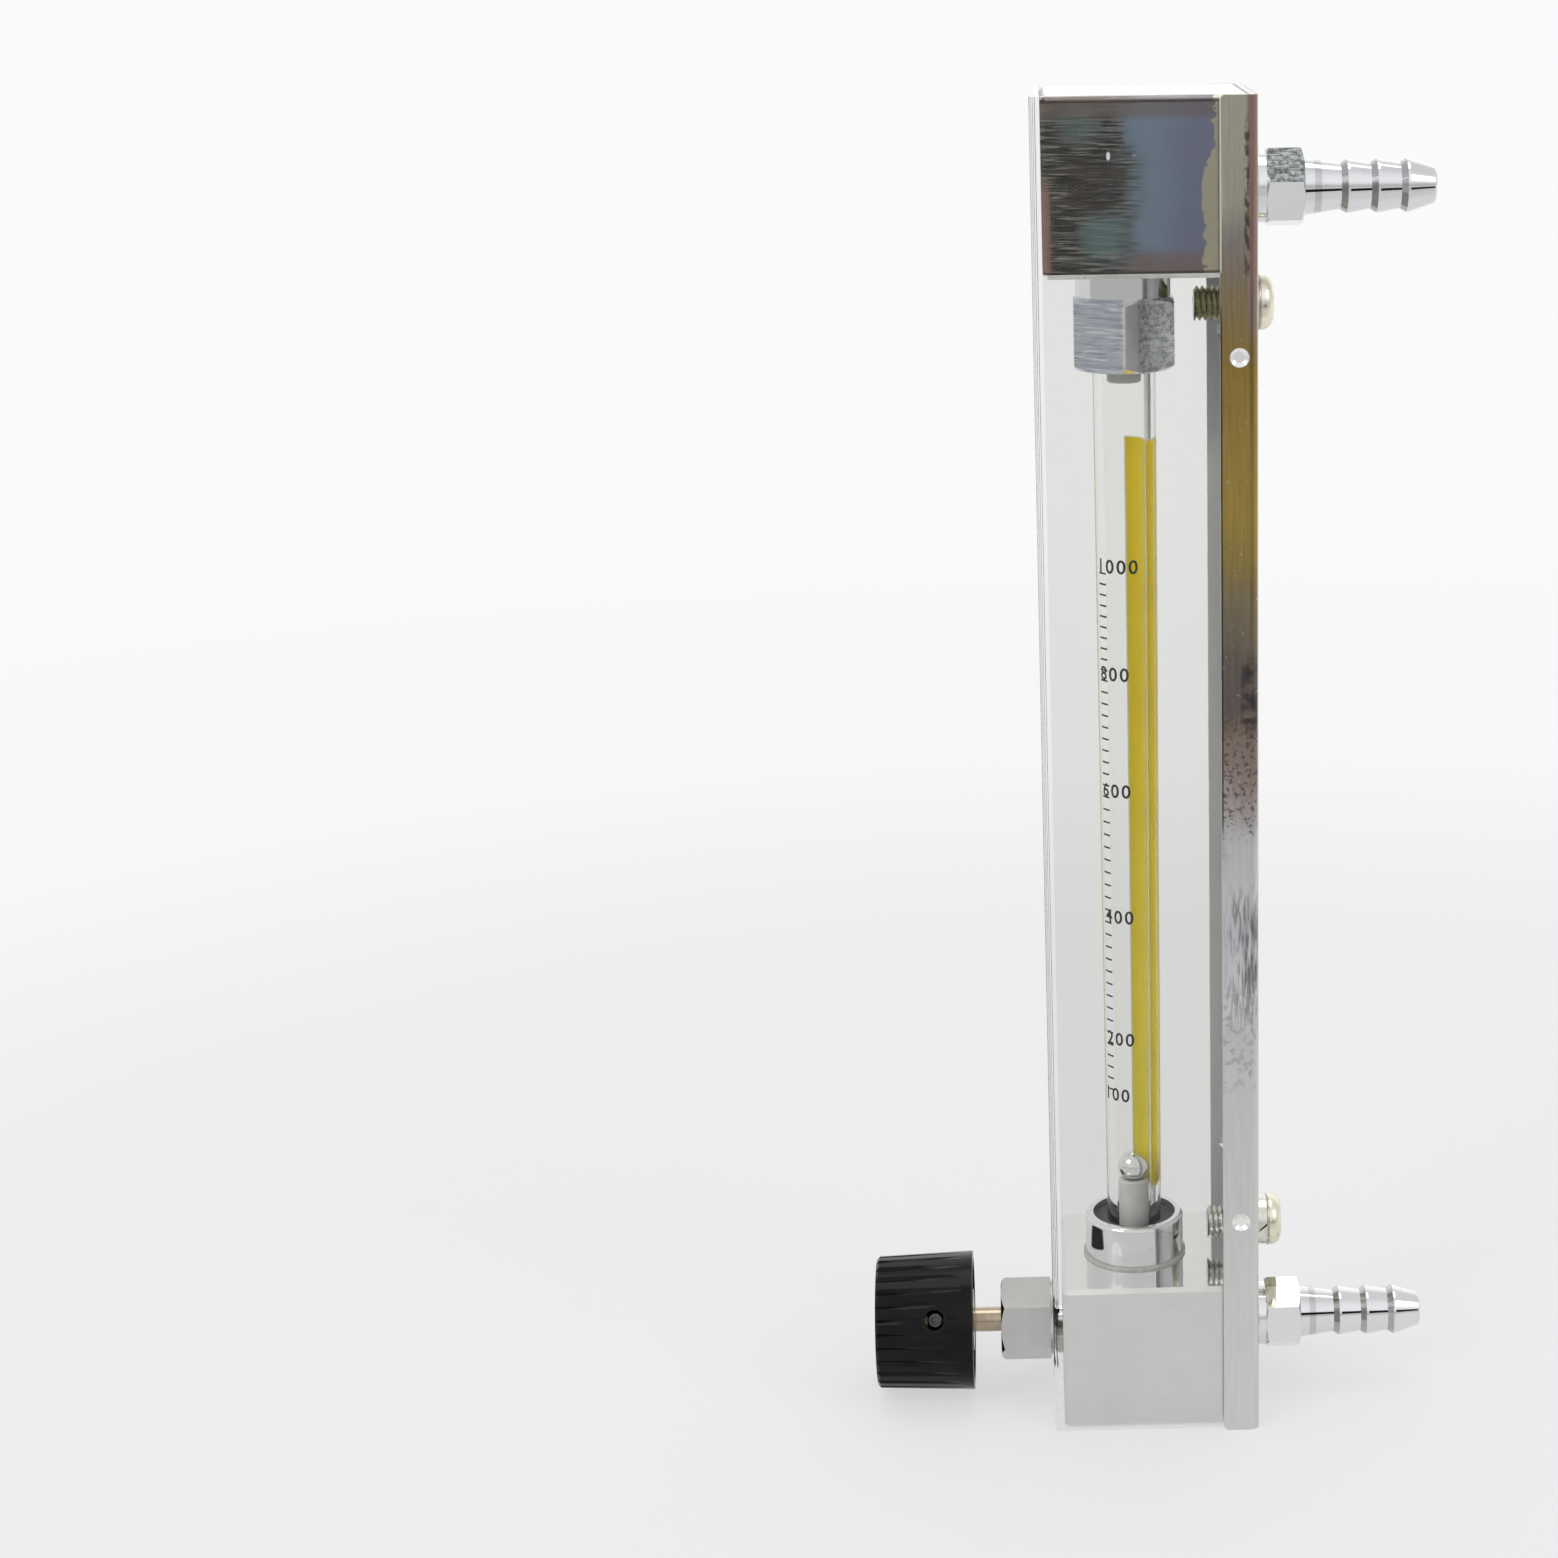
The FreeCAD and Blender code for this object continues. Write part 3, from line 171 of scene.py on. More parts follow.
def soft_step(tree, value, low, high, least=0.0):
    """Rises softly from its least value to 1 between two places along a number."""
    made = tree.nodes.new("ShaderNodeMapRange")
    made.interpolation_type = "SMOOTHSTEP"
    made.inputs["From Min"].default_value = low
    made.inputs["From Max"].default_value = high
    made.inputs["To Min"].default_value = least
    tree.links.new(value, made.inputs["Value"])
    return made.outputs[0]


bpy.ops.mesh.primitive_plane_add(size=floor_width)
floor = bpy.context.object
floor.name = "studio_floor"
floor_paint, tree, matt = new_material("pale_floor", 0.9, 0.0, floor_paint_colour)
glow = tree.nodes.new("ShaderNodeEmission")
path = tree.nodes.new("ShaderNodeLightPath")
spot = tree.nodes.new("ShaderNodeTexCoord").outputs["Object"]
reach = tree.nodes.new("ShaderNodeVectorMath")
reach.operation = "LENGTH"
tree.links.new(spot, reach.inputs[0])
distance = reach.outputs["Value"]
floor_tone = ramp(tree, distance, floor_tones, 0.0, floor_reach)
# metal sees the floor in front of the instrument a little darker
in_front = soft_step(tree, axis_of(tree, spot, "Y"), -0.04, -0.25)
in_metal = figured(tree, "MULTIPLY", in_front, path.outputs["Is Glossy Ray"])
tree.links.new(mixed(tree, in_metal, floor_tone, floor_in_metal), glow.inputs["Color"])
# the lamps and the shadow count only near the instrument
away = soft_step(tree, distance, lit_near, lit_far, lit_share)
sight = figured(tree, "MAXIMUM", path.outputs["Is Camera Ray"], path.outputs["Is Glossy Ray"])
sight = figured(tree, "MAXIMUM", sight, path.outputs["Is Transmission Ray"])
blend_floor = tree.nodes.new("ShaderNodeMixShader")
tree.links.new(figured(tree, "MULTIPLY", sight, away), blend_floor.inputs[0])
tree.links.new(matt.outputs[0], blend_floor.inputs[1])
tree.links.new(glow.outputs[0], blend_floor.inputs[2])
tree.links.new(blend_floor.outputs[0], tree.nodes["Material Output"].inputs["Surface"])
floor.data.materials.append(floor_paint)

bpy.ops.mesh.primitive_plane_add(size=1, location=card_middle, rotation=(math.pi / 2, 0, 0))
card = bpy.context.object
card.name = "dark_card"
card.scale = card_size
card_paint, tree, shader = new_material("dark_card", 0.5, 0.0, card_paint_colour)
shader.inputs["Specular IOR Level"].default_value = 0.0
card.data.materials.append(card_paint)
card.visible_camera = False
card.visible_diffuse = False
card.visible_transmission = False
card.visible_shadow = False

room = bpy.data.worlds.new("bright_room")
scene.world = room
room.use_nodes = True
tree = room.node_tree
direction = tree.nodes.new("ShaderNodeTexCoord").outputs["Generated"]
depth = axis_of(tree, direction, "Y")
round_room = mixed(tree, soft_step(tree, depth, -0.1, -0.6), room_front,
                   ramp(tree, axis_of(tree, direction, "Z"), room_heights))
round_room = mixed(tree, soft_step(tree, depth, 0.4, 0.9), round_room, back_wall_shade)
path = tree.nodes.new("ShaderNodeLightPath")
sight = figured(tree, "MAXIMUM", path.outputs["Is Camera Ray"], path.outputs["Is Transmission Ray"])
tree.links.new(mixed(tree, sight, round_room, far_shade), tree.nodes["Background"].inputs["Color"])

for name, stand, size, power in lamps:
    lamp_data = bpy.data.lights.new(name, "AREA")
    lamp_data.shape = "SQUARE"
    lamp_data.size = size
    lamp_data.energy = power
    lamp = bpy.data.objects.new(name, lamp_data)
    scene.collection.objects.link(lamp)
    lamp.location = stand
    aim = Vector(instrument_middle) - Vector(stand)
    lamp.rotation_euler = aim.to_track_quat("-Z", "Y").to_euler()


# ---- Back channel ----
# One folded strip of zinc-plated sheet, the height of the instrument, that everything else is
# mounted on. The passivated plate has gone gold and brown in its upper half, with dark smudges.
def new_group(name, inputs, outputs):
    """An empty node group with named number or vector inputs and number outputs."""
    group = bpy.data.node_groups.new(name, "ShaderNodeTree")
    for label, kind, value in inputs:
        socket = group.interface.new_socket(label, in_out="INPUT", socket_type="NodeSocket" + kind)
        if value is not None:
            socket.default_value = value
    for label in outputs:
        group.interface.new_socket(label, in_out="OUTPUT", socket_type="NodeSocketFloat")
    start = group.nodes.new("NodeGroupInput")
    end = group.nodes.new("NodeGroupOutput")
    return group, start, end


def use_group(tree, group, vector, **values):
    """The group placed in a material, with its own numbers."""
    placed = tree.nodes.new("ShaderNodeGroup")
    placed.node_tree = group
    tree.links.new(vector, placed.inputs["Vector"])
    for label, value in values.items():
        placed.inputs[label].default_value = value
    return placed


def place_vector(tree):
    """Where a point lies on the instrument, in metres."""
    return tree.nodes.new("ShaderNodeTexCoord").outputs["Object"]


def bump(tree, shader, height, depth):
    """A height map pressed into the surface, its depth in metres."""
    pressed = tree.nodes.new("ShaderNodeBump")
    pressed.inputs["Strength"].default_value = 1.0
    pressed.inputs["Distance"].default_value = depth
    tree.links.new(height, pressed.inputs["Height"])
    tree.links.new(pressed.outputs["Normal"], shader.inputs["Normal"])


# soft irregular patches, their size in metres
patches, start, end = new_group(
    "patches", [("Vector", "Vector", None), ("Size", "Float", 0.01), ("Low", "Float", 0.4),
                ("High", "Float", 0.6)], ["Mask"])
cells = patches.nodes.new("ShaderNodeTexNoise")
cells.inputs["Detail"].default_value = 4.0
cells.inputs["Roughness"].default_value = 0.6
count = patches.nodes.new("ShaderNodeMath")
count.operation = "DIVIDE"
count.inputs[0].default_value = 1.0
cut = patches.nodes.new("ShaderNodeMapRange")
cut.interpolation_type = "SMOOTHSTEP"
patches.links.new(start.outputs["Vector"], cells.inputs["Vector"])
patches.links.new(start.outputs["Size"], count.inputs[1])
patches.links.new(count.outputs[0], cells.inputs["Scale"])
patches.links.new(cells.outputs["Fac"], cut.inputs["Value"])
patches.links.new(start.outputs["Low"], cut.inputs["From Min"])
patches.links.new(start.outputs["High"], cut.inputs["From Max"])
patches.links.new(cut.outputs[0], end.inputs["Mask"])

# fine parallel lines: the noise is stretched by a different number along each axis
lines, start, end = new_group(
    "brush_lines", [("Vector", "Vector", None), ("Stretch", "Vector", (100, 100, 4000)),
                    ("Low", "Float", 0.3), ("High", "Float", 0.7)], ["Mask"])
stretch = lines.nodes.new("ShaderNodeVectorMath")
stretch.operation = "MULTIPLY"
streak = lines.nodes.new("ShaderNodeTexNoise")
streak.inputs["Scale"].default_value = 1.0
streak.inputs["Detail"].default_value = 3.0
cut = lines.nodes.new("ShaderNodeMapRange")
lines.links.new(start.outputs["Vector"], stretch.inputs[0])
lines.links.new(start.outputs["Stretch"], stretch.inputs[1])
lines.links.new(stretch.outputs["Vector"], streak.inputs["Vector"])
lines.links.new(streak.outputs["Fac"], cut.inputs["Value"])
lines.links.new(start.outputs["Low"], cut.inputs["From Min"])
lines.links.new(start.outputs["High"], cut.inputs["From Max"])
lines.links.new(cut.outputs[0], end.inputs["Mask"])

# 1 between two places along a number, fading over a soft edge at each of them
band, start, end = new_group(
    "band", [("Value", "Float", 0.0), ("Low", "Float", 0.0), ("High", "Float", 1.0), ("Soft", "Float", 0.001)],
    ["Mask"])
both = band.nodes.new("ShaderNodeMath")
both.operation = "MULTIPLY"
for number, (edge, first, second) in enumerate((("Low", "SUBTRACT", "ADD"), ("High", "ADD", "SUBTRACT"))):
    fade = band.nodes.new("ShaderNodeMapRange")
    fade.interpolation_type = "SMOOTHSTEP"
    for socket, operation in (("From Min", first), ("From Max", second)):
        place = band.nodes.new("ShaderNodeMath")
        place.operation = operation
        band.links.new(start.outputs[edge], place.inputs[0])
        band.links.new(start.outputs["Soft"], place.inputs[1])
        band.links.new(place.outputs[0], fade.inputs[socket])
    band.links.new(start.outputs["Value"], fade.inputs["Value"])
    band.links.new(fade.outputs[0], both.inputs[number])
band.links.new(both.outputs[0], end.inputs["Mask"])


def within(tree, value, low, high, soft=MM):
    """1 where a number lies between two places."""
    placed = tree.nodes.new("ShaderNodeGroup")
    placed.node_tree = band
    for label, number in (("Low", low), ("High", high), ("Soft", soft)):
        placed.inputs[label].default_value = number
    tree.links.new(value, placed.inputs["Value"])
    return placed.outputs["Mask"]


def near(tree, vector, point, radius, soft=0.1 * MM):
    """1 within a distance of a point."""
    gap = tree.nodes.new("ShaderNodeVectorMath")
    gap.operation = "DISTANCE"
    gap.inputs[1].default_value = point
    tree.links.new(vector, gap.inputs[0])
    return within(tree, gap.outputs["Value"], -1.0, radius, soft)


def times(tree, *masks):
    """Masks multiplied together."""
    total = masks[0]
    for mask in masks[1:]:
        total = figured(tree, "MULTIPLY", total, mask)
    return total


def patchy(tree, vector, size, low, high):
    """The mask of the soft irregular patches."""
    return use_group(tree, patches, vector, Size=size, Low=low, High=high).outputs["Mask"]


def streaky(tree, vector, stretch, low, high):
    """The mask of the fine parallel lines."""
    return use_group(tree, lines, vector, Stretch=stretch, Low=low, High=high).outputs["Mask"]


def painted(tree, under, colour, strength, *masks):
    """A colour laid over another where all the masks are, as strong as given."""
    return mixed(tree, times(tree, *masks, strength), under, colour)


# a zone is a place where a mark lies: from, to, and how softly it ends; beyond is past the metal
beyond = 100 * MM
flange_face = (25.65 * MM, beyond, 0.05 * MM)
web_face = (27.65 * MM, beyond, 0.05 * MM)
front_edge = (0.0, 20.6 * MM, 0.1 * MM)
darker_edge_depth = (0.0, 20.7 * MM, 0.1 * MM)
rear_bend = (26.2 * MM, beyond, 0.3 * MM)
bend_start = (25.6 * MM, 26.7 * MM, 0.3 * MM)
stained_depth = (24.8 * MM, beyond, 0.8 * MM)
rubbed_depth = (21.5 * MM, beyond, 2 * MM)
smeared_depth = (25.4 * MM, beyond, 1.2 * MM)
mauve_height = (262 * MM, 320 * MM, 6 * MM)
dashed_height = (276 * MM, 308 * MM, 3 * MM)
worn_height = (150 * MM, 178 * MM, 4 * MM)
flaked_height = (148 * MM, 300 * MM, 4 * MM)
stained_height = (174 * MM, 190 * MM, 3 * MM)
rubbed_height = (105 * MM, 136 * MM, 6 * MM)
smeared_height = (108 * MM, 130 * MM, 6 * MM)
dull_height = (88 * MM, 112 * MM, 4 * MM)
edge_highlight_height = (276.5 * MM, 320 * MM, 0.5 * MM)
darker_edge_height = (150 * MM, 268 * MM, 3 * MM)
dimples = ((24.5 * MM, 0, 54 * MM), (24.5 * MM, 0, 258 * MM))
dimple_radius = 2.15 * MM
plate_top = 330 * MM
plate_by_height = [
    (0 * MM, (0.650, 0.650, 0.638)), (90 * MM, (0.616, 0.616, 0.605)), (102 * MM, (0.582, 0.582, 0.582)),
    (112 * MM, (0.672, 0.672, 0.672)), (122 * MM, (0.560, 0.560, 0.582)), (136 * MM, (0.616, 0.616, 0.616)),
    (149 * MM, (0.538, 0.538, 0.538)), (157 * MM, (0.385, 0.352, 0.341)), (166 * MM, (0.297, 0.231, 0.204)),
    (174 * MM, (0.209, 0.160, 0.132)), (181 * MM, (0.138, 0.116, 0.105)), (192 * MM, (0.154, 0.132, 0.110)),
    (201 * MM, (0.216, 0.180, 0.120)), (209 * MM, (0.300, 0.222, 0.078)), (222 * MM, (0.372, 0.270, 0.072)),
    (242 * MM, (0.354, 0.246, 0.070)), (254 * MM, (0.300, 0.204, 0.060)), (264 * MM, (0.276, 0.210, 0.102)),
    (273 * MM, (0.264, 0.210, 0.150)), (281 * MM, (0.264, 0.240, 0.216)), (290 * MM, (0.396, 0.372, 0.300)),
    (314 * MM, (0.408, 0.396, 0.324)),
]
mauve = (0.30, 0.205, 0.175)
bend_dash = (0.06, 0.045, 0.04)
dark_speck = (0.085, 0.06, 0.055)
pale_flake = (0.62, 0.58, 0.54)
dark_stain = (0.045, 0.04, 0.045)
grey_rub = (0.20, 0.20, 0.21)
dark_smear = (0.12, 0.12, 0.13)
dull_grey = (0.30, 0.30, 0.31)
painted_edge_highlight = (0.80, 0.78, 0.72)
darker_edge_line = (0.03, 0.025, 0.022)
inner_faces_painted_bright = (0.97, 0.975, 1.0)
rear_grey = (0.56, 0.56, 0.55)
rear_olive = (0.52, 0.51, 0.47)
rear_rub = (0.36, 0.36, 0.36)
bright_metal = (0.90, 0.89, 0.87)
grain_dark = (0.30, 0.29, 0.28)
grain_light = (0.9, 0.9, 0.9)
grain_strength = 0.22

plated_channel, tree, shader = new_material("plated_channel", 0.3, 1.0)
place = place_vector(tree)
along = axis_of(tree, place, "X")
up = axis_of(tree, place, "Z")
wander = patchy(tree, place, 20 * MM, 0.2, 0.8)
drift = figured(tree, "MULTIPLY", figured(tree, "SUBTRACT", wander, 0.5), 12 * MM)
level = figured(tree, "ADD", up, drift)
plate = ramp(tree, level, plate_by_height, 0.0, plate_top)
# the rear bend of the upper end has gone mauve, with dark dashes along its start
plate = painted(tree, plate, mauve, 1.0, within(tree, along, *rear_bend), within(tree, level, *mauve_height))
plate = painted(tree, plate, bend_dash, 0.85, within(tree, along, *bend_start), within(tree, up, *dashed_height),
                streaky(tree, place, (900, 900, 420), 0.44, 0.56))
# dark specks in the worn zone, light ones where the plate has flaked, and a stain at the back
plate = painted(tree, plate, dark_speck, 0.75, patchy(tree, place, 1.2 * MM, 0.52, 0.62),
                within(tree, level, *worn_height))
plate = painted(tree, plate, pale_flake, 0.7, patchy(tree, place, 1.1 * MM, 0.66, 0.72),
                within(tree, level, *flaked_height))
plate = painted(tree, plate, dark_stain, 0.85, within(tree, along, *stained_depth),
                within(tree, up, *stained_height), patchy(tree, place, 3 * MM, 0.38, 0.60))
# grey smudges rubbed along the sheet, heavier towards the back
streaks = streaky(tree, place, (1900, 1900, 210), 0.47, 0.60)
plate = painted(tree, plate, grey_rub, 0.75, within(tree, up, *rubbed_height),
                within(tree, along, *rubbed_depth), streaks)
plate = painted(tree, plate, dark_smear, 0.8, within(tree, up, *smeared_height),
                within(tree, along, *smeared_depth), streaky(tree, place, (1100, 1100, 140), 0.36, 0.52))
plate = painted(tree, plate, dull_grey, 0.5, within(tree, up, *dull_height),
                patchy(tree, place, 1.8 * MM, 0.50, 0.62))
# the sheet's front edge has a painted highlight beside the upper block and is painted darker below it
plate = painted(tree, plate, painted_edge_highlight, 1.0, within(tree, along, *front_edge), within(tree, up, *edge_highlight_height))
plate = painted(tree, plate, darker_edge_line, 0.8, within(tree, along, *darker_edge_depth), within(tree, up, *darker_edge_height))
grain = streaky(tree, place, (1500, 1500, 60), 0.3, 0.7)
grain_tone = mixed(tree, grain, grain_dark, grain_light)
plate = mixed(tree, grain_strength, plate, grain_tone, "SOFT_LIGHT")
# only the outer faces of the two flanges are tarnished
off_middle = figured(tree, "ABSOLUTE", axis_of(tree, place, "Y"), 0)
flank = within(tree, off_middle, *flange_face)
rear = times(tree, within(tree, along, *web_face), figured(tree, "SUBTRACT", 1.0, flank))
rear_plate = mixed(tree, patchy(tree, place, 30 * MM, 0.3, 0.7), rear_grey, rear_olive)
rear_plate = painted(tree, rear_plate, rear_rub, 0.25, streaks)
# painted light: the inner faces are painted near-white and made non-metal so they show as brightly lit
inner = mixed(tree, rear, inner_faces_painted_bright, rear_plate)
inner = mixed(tree, grain_strength, inner, grain_tone, "SOFT_LIGHT")
faces = mixed(tree, flank, inner, plate)
# the pressed dimples are bare and bright
half = tree.nodes.new("ShaderNodeVectorMath")
half.operation = "MULTIPLY"
half.inputs[1].default_value = (1, 0, 1)
tree.links.new(place, half.inputs[0])
bare_spots = [near(tree, half.outputs["Vector"], dimple, dimple_radius) for dimple in dimples]
bare = figured(tree, "MAXIMUM", *bare_spots)
tree.links.new(painted(tree, faces, bright_metal, 1.0, bare, flank), shader.inputs["Base Color"])
tree.links.new(figured(tree, "MAXIMUM", flank, rear), shader.inputs["Metallic"])
rough = figured(tree, "ADD", figured(tree, "MULTIPLY", wander, 0.12), 0.26)
tree.links.new(figured(tree, "SUBTRACT", rough, times(tree, bare, 0.2)), shader.inputs["Roughness"])
bump(tree, shader, grain, 0.02 * MM)


def dress(node, material):
    """The node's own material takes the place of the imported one."""
    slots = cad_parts[node].material_slots
    for slot in slots:
        slot.material = material


dress("back_channel", plated_channel)


# ---- End blocks ----
# Two blocks of plated brass, cut from bar and milled. The upper one's side has gone olive, dark
# and blue in soft clouds with fine scratches along it; the lower one is still clean.
def facing(tree, letter, sign, low=0.8):
    """1 on faces that look along an axis."""
    normal = tree.nodes.new("ShaderNodeNewGeometry").outputs["Normal"]
    side = figured(tree, "MULTIPLY", axis_of(tree, normal, letter), sign)
    return within(tree, side, low, 2.0, 0.05)


# the zones of the upper block's side
front_part = (-30 * MM, 1.5 * MM, 4 * MM)
sooty_depth = (-13.5 * MM, -0.5 * MM, 2.2 * MM)
sooty_height = (288.5 * MM, 301.5 * MM, 2.5 * MM)
brown_front = (-30 * MM, -16.2 * MM, 0.5 * MM)
brown_height = (274 * MM, 295.5 * MM, 3 * MM)
brown_foot = (270 * MM, 280.5 * MM, 2 * MM)
brown_rear = (0.0, 30 * MM, 4 * MM)
brown_head = (309.5 * MM, 330 * MM, 1.2 * MM)
clean_rear = (18 * MM, 60 * MM, 0.25 * MM)
jagged_head = (301 * MM, 330 * MM, 3 * MM)
head_line = (312.5 * MM, 313.3 * MM, 0.1 * MM)
foot_line = (276.1 * MM, 276.7 * MM, 0.1 * MM)
foot_bevel = (270 * MM, 276.1 * MM, 0.1 * MM)
upper_half = (150 * MM, 500 * MM)
lower_spot = ((-5 * MM, -23 * MM, 284 * MM), 4.5 * MM, 2.5 * MM)
upper_spot = ((-10 * MM, -23 * MM, 308 * MM), 4 * MM, 2 * MM)
side_by_depth = [
    (-18 * MM, (0.15, 0.142, 0.125)), (-10 * MM, (0.13, 0.128, 0.118)), (-3 * MM, (0.165, 0.18, 0.185)),
    (3 * MM, (0.20, 0.255, 0.31)), (8 * MM, (0.215, 0.275, 0.36)), (14 * MM, (0.20, 0.22, 0.315)),
    (21 * MM, (0.21, 0.215, 0.30)),
]
side_front, side_rear = -20 * MM, 30 * MM
painted_glint_spot = ((-7.7 * MM, 0, 301.3 * MM), 0.9 * MM, 0.2 * MM)
glint_stretch = (2.2, 0, 1)
dark_scratch = (0.035, 0.035, 0.03)
pale_scratch = (0.34, 0.325, 0.28)
soot = (0.065, 0.058, 0.052)
lower_teal = (0.16, 0.245, 0.245)
upper_teal = (0.15, 0.205, 0.20)
front_brown = (0.32, 0.205, 0.165)
foot_brown = (0.23, 0.16, 0.13)
head_brown = (0.20, 0.165, 0.15)
jagged_olive = (0.45, 0.42, 0.31)
painted_glint_speck = (0.62, 0.64, 0.68)
edge_line = (0.06, 0.045, 0.042)
painted_bevel_reflection = (0.95, 0.95, 0.94)
top_plate = (0.7, 0.7, 0.69)

plated_block, tree, shader = new_material("plated_block", 0.22, 1.0)
place = place_vector(tree)
across = axis_of(tree, place, "X")
up = axis_of(tree, place, "Z")
cloud = patchy(tree, place, 20 * MM, 0.25, 0.75)
drift = figured(tree, "MULTIPLY", figured(tree, "SUBTRACT", cloud, 0.5), 8 * MM)
wavy = figured(tree, "ADD", across, drift)
side = ramp(tree, wavy, side_by_depth, side_front, side_rear)
# fine scratches lie along the front part, dark ones and a few pale ones, around a sooty patch
scratched = within(tree, wavy, *front_part)
scratch = streaky(tree, place, (130, 130, 2900), 0.455, 0.50)
side = painted(tree, side, dark_scratch, 0.85, scratched, scratch)
side = painted(tree, side, pale_scratch, 0.7, scratched, streaky(tree, place, (120, 120, 2600), 0.57, 0.60))
side = painted(tree, side, soot, 0.8, within(tree, across, *sooty_depth), within(tree, up, *sooty_height),
               patchy(tree, place, 4 * MM, 0.30, 0.62))
# two teal spots, and brown at the front, the foot and the head
side = painted(tree, side, lower_teal, 0.75, near(tree, place, *lower_spot))
side = painted(tree, side, upper_teal, 0.6, near(tree, place, *upper_spot))
side = painted(tree, side, front_brown, 0.8, within(tree, across, *brown_front), within(tree, up, *brown_height))
side = painted(tree, side, foot_brown, 0.75, within(tree, up, *brown_foot), within(tree, across, *brown_rear))
side = painted(tree, side, head_brown, 0.7, within(tree, up, *brown_head))
# the cleaner olive plate next to the channel has a jagged edge
jags = figured(tree, "MULTIPLY", patchy(tree, place, 2.2 * MM, 0.3, 0.7), 1.6 * MM)
head_jag = figured(tree, "MULTIPLY", within(tree, up, *jagged_head), 2.2 * MM)
ragged = figured(tree, "SUBTRACT", figured(tree, "ADD", across, jags), head_jag)
side = mixed(tree, within(tree, ragged, *clean_rear), side, jagged_olive)
# painted glints: small pale specks and one bright white spot
side = mixed(tree, patchy(tree, place, 1.4 * MM, 0.715, 0.75), side, painted_glint_speck)
stretched = tree.nodes.new("ShaderNodeVectorMath")
stretched.operation = "MULTIPLY"
stretched.inputs[1].default_value = glint_stretch
tree.links.new(place, stretched.inputs[0])
side = mixed(tree, near(tree, stretched.outputs["Vector"], *painted_glint_spot), side, (1.0, 1.0, 1.0))
# dark lines along the head and the foot, and below them a painted reflection on the foot bevel
edges = figured(tree, "MAXIMUM", within(tree, up, *head_line), within(tree, up, *foot_line))
side = painted(tree, side, edge_line, 0.75, edges)
side = mixed(tree, within(tree, up, *foot_bevel), side, painted_bevel_reflection)
clean = mixed(tree, cloud, (0.80, 0.80, 0.792), (0.85, 0.85, 0.842))
upper = within(tree, up, *upper_half)
top_face = facing(tree, "Z", 1.0)
upper_plate = mixed(tree, top_face, side, top_plate)
tree.links.new(mixed(tree, upper, clean, upper_plate), shader.inputs["Base Color"])
satin = figured(tree, "ADD", figured(tree, "MULTIPLY", cloud, 0.10), 0.17)
tree.links.new(figured(tree, "SUBTRACT", satin, times(tree, top_face, 0.13)), shader.inputs["Roughness"])
bump(tree, shader, times(tree, scratch, upper, scratched), 0.005 * MM)
dress("lower_block", plated_block)
dress("upper_block", plated_block)


# ---- Hose barbs ----
# Turned from hexagon brass, polished and chromed, screwed into the blocks from behind against a
# washer. The upper face of the outlet's hexagon is painted a dark speckled grey as a painted reflection.
def chrome(name, tarnish_and_painted_light=None, base=0.80, roughness=0.05):
    """Polished chrome with faint haze; a marks function may add its own tarnish and painted light to the colour.
    """
    material, tree, shader = new_material(name, roughness, 1.0)
    place = place_vector(tree)
    haze = patchy(tree, place, 10 * MM, 0.3, 0.8)
    colour = mixed(tree, haze, (base, base, base * 1.01), (base * 0.92, base * 0.93, base * 0.94))
    colour = painted(tree, colour, (0.25, 0.26, 0.26), 0.5, patchy(tree, place, 1.3 * MM, 0.68, 0.74))
    polish = figured(tree, "ADD", figured(tree, "MULTIPLY", haze, 0.05), roughness * 0.8)
    if tarnish_and_painted_light:
        colour, polish = tarnish_and_painted_light(tree, place, colour, polish)
    tree.links.new(colour, shader.inputs["Base Color"])
    tree.links.new(polish, shader.inputs["Roughness"])
    return material, tree, shader


def along_direction(tree, vector, direction, origin):
    """How far a point lies from an origin along a direction."""
    offset = tree.nodes.new("ShaderNodeVectorMath")
    offset.operation = "SUBTRACT"
    offset.inputs[1].default_value = origin
    tree.links.new(vector, offset.inputs[0])
    dot = tree.nodes.new("ShaderNodeVectorMath")
    dot.operation = "DOT_PRODUCT"
    dot.inputs[1].default_value = direction
    tree.links.new(offset.outputs["Vector"], dot.inputs[0])
    return dot.outputs["Value"]


inlet_axis = (0, 0, 18 * MM)
outlet_axis = (0, 0, 292.5 * MM)
outlet_turn = math.radians(41.4)
inlet_turn = math.radians(1.9)
hexagon_length = (31.9 * MM, 40.6 * MM, 0.1 * MM)
hexagon_face = (7.9 * MM, beyond, 0.05 * MM)
olive_length = (30 * MM, 35.2 * MM, 0.6 * MM)
neck_groove = (42.8 * MM, 44.4 * MM, 0.1 * MM)
barb_length = (41.1 * MM, 70 * MM, 0.1 * MM)


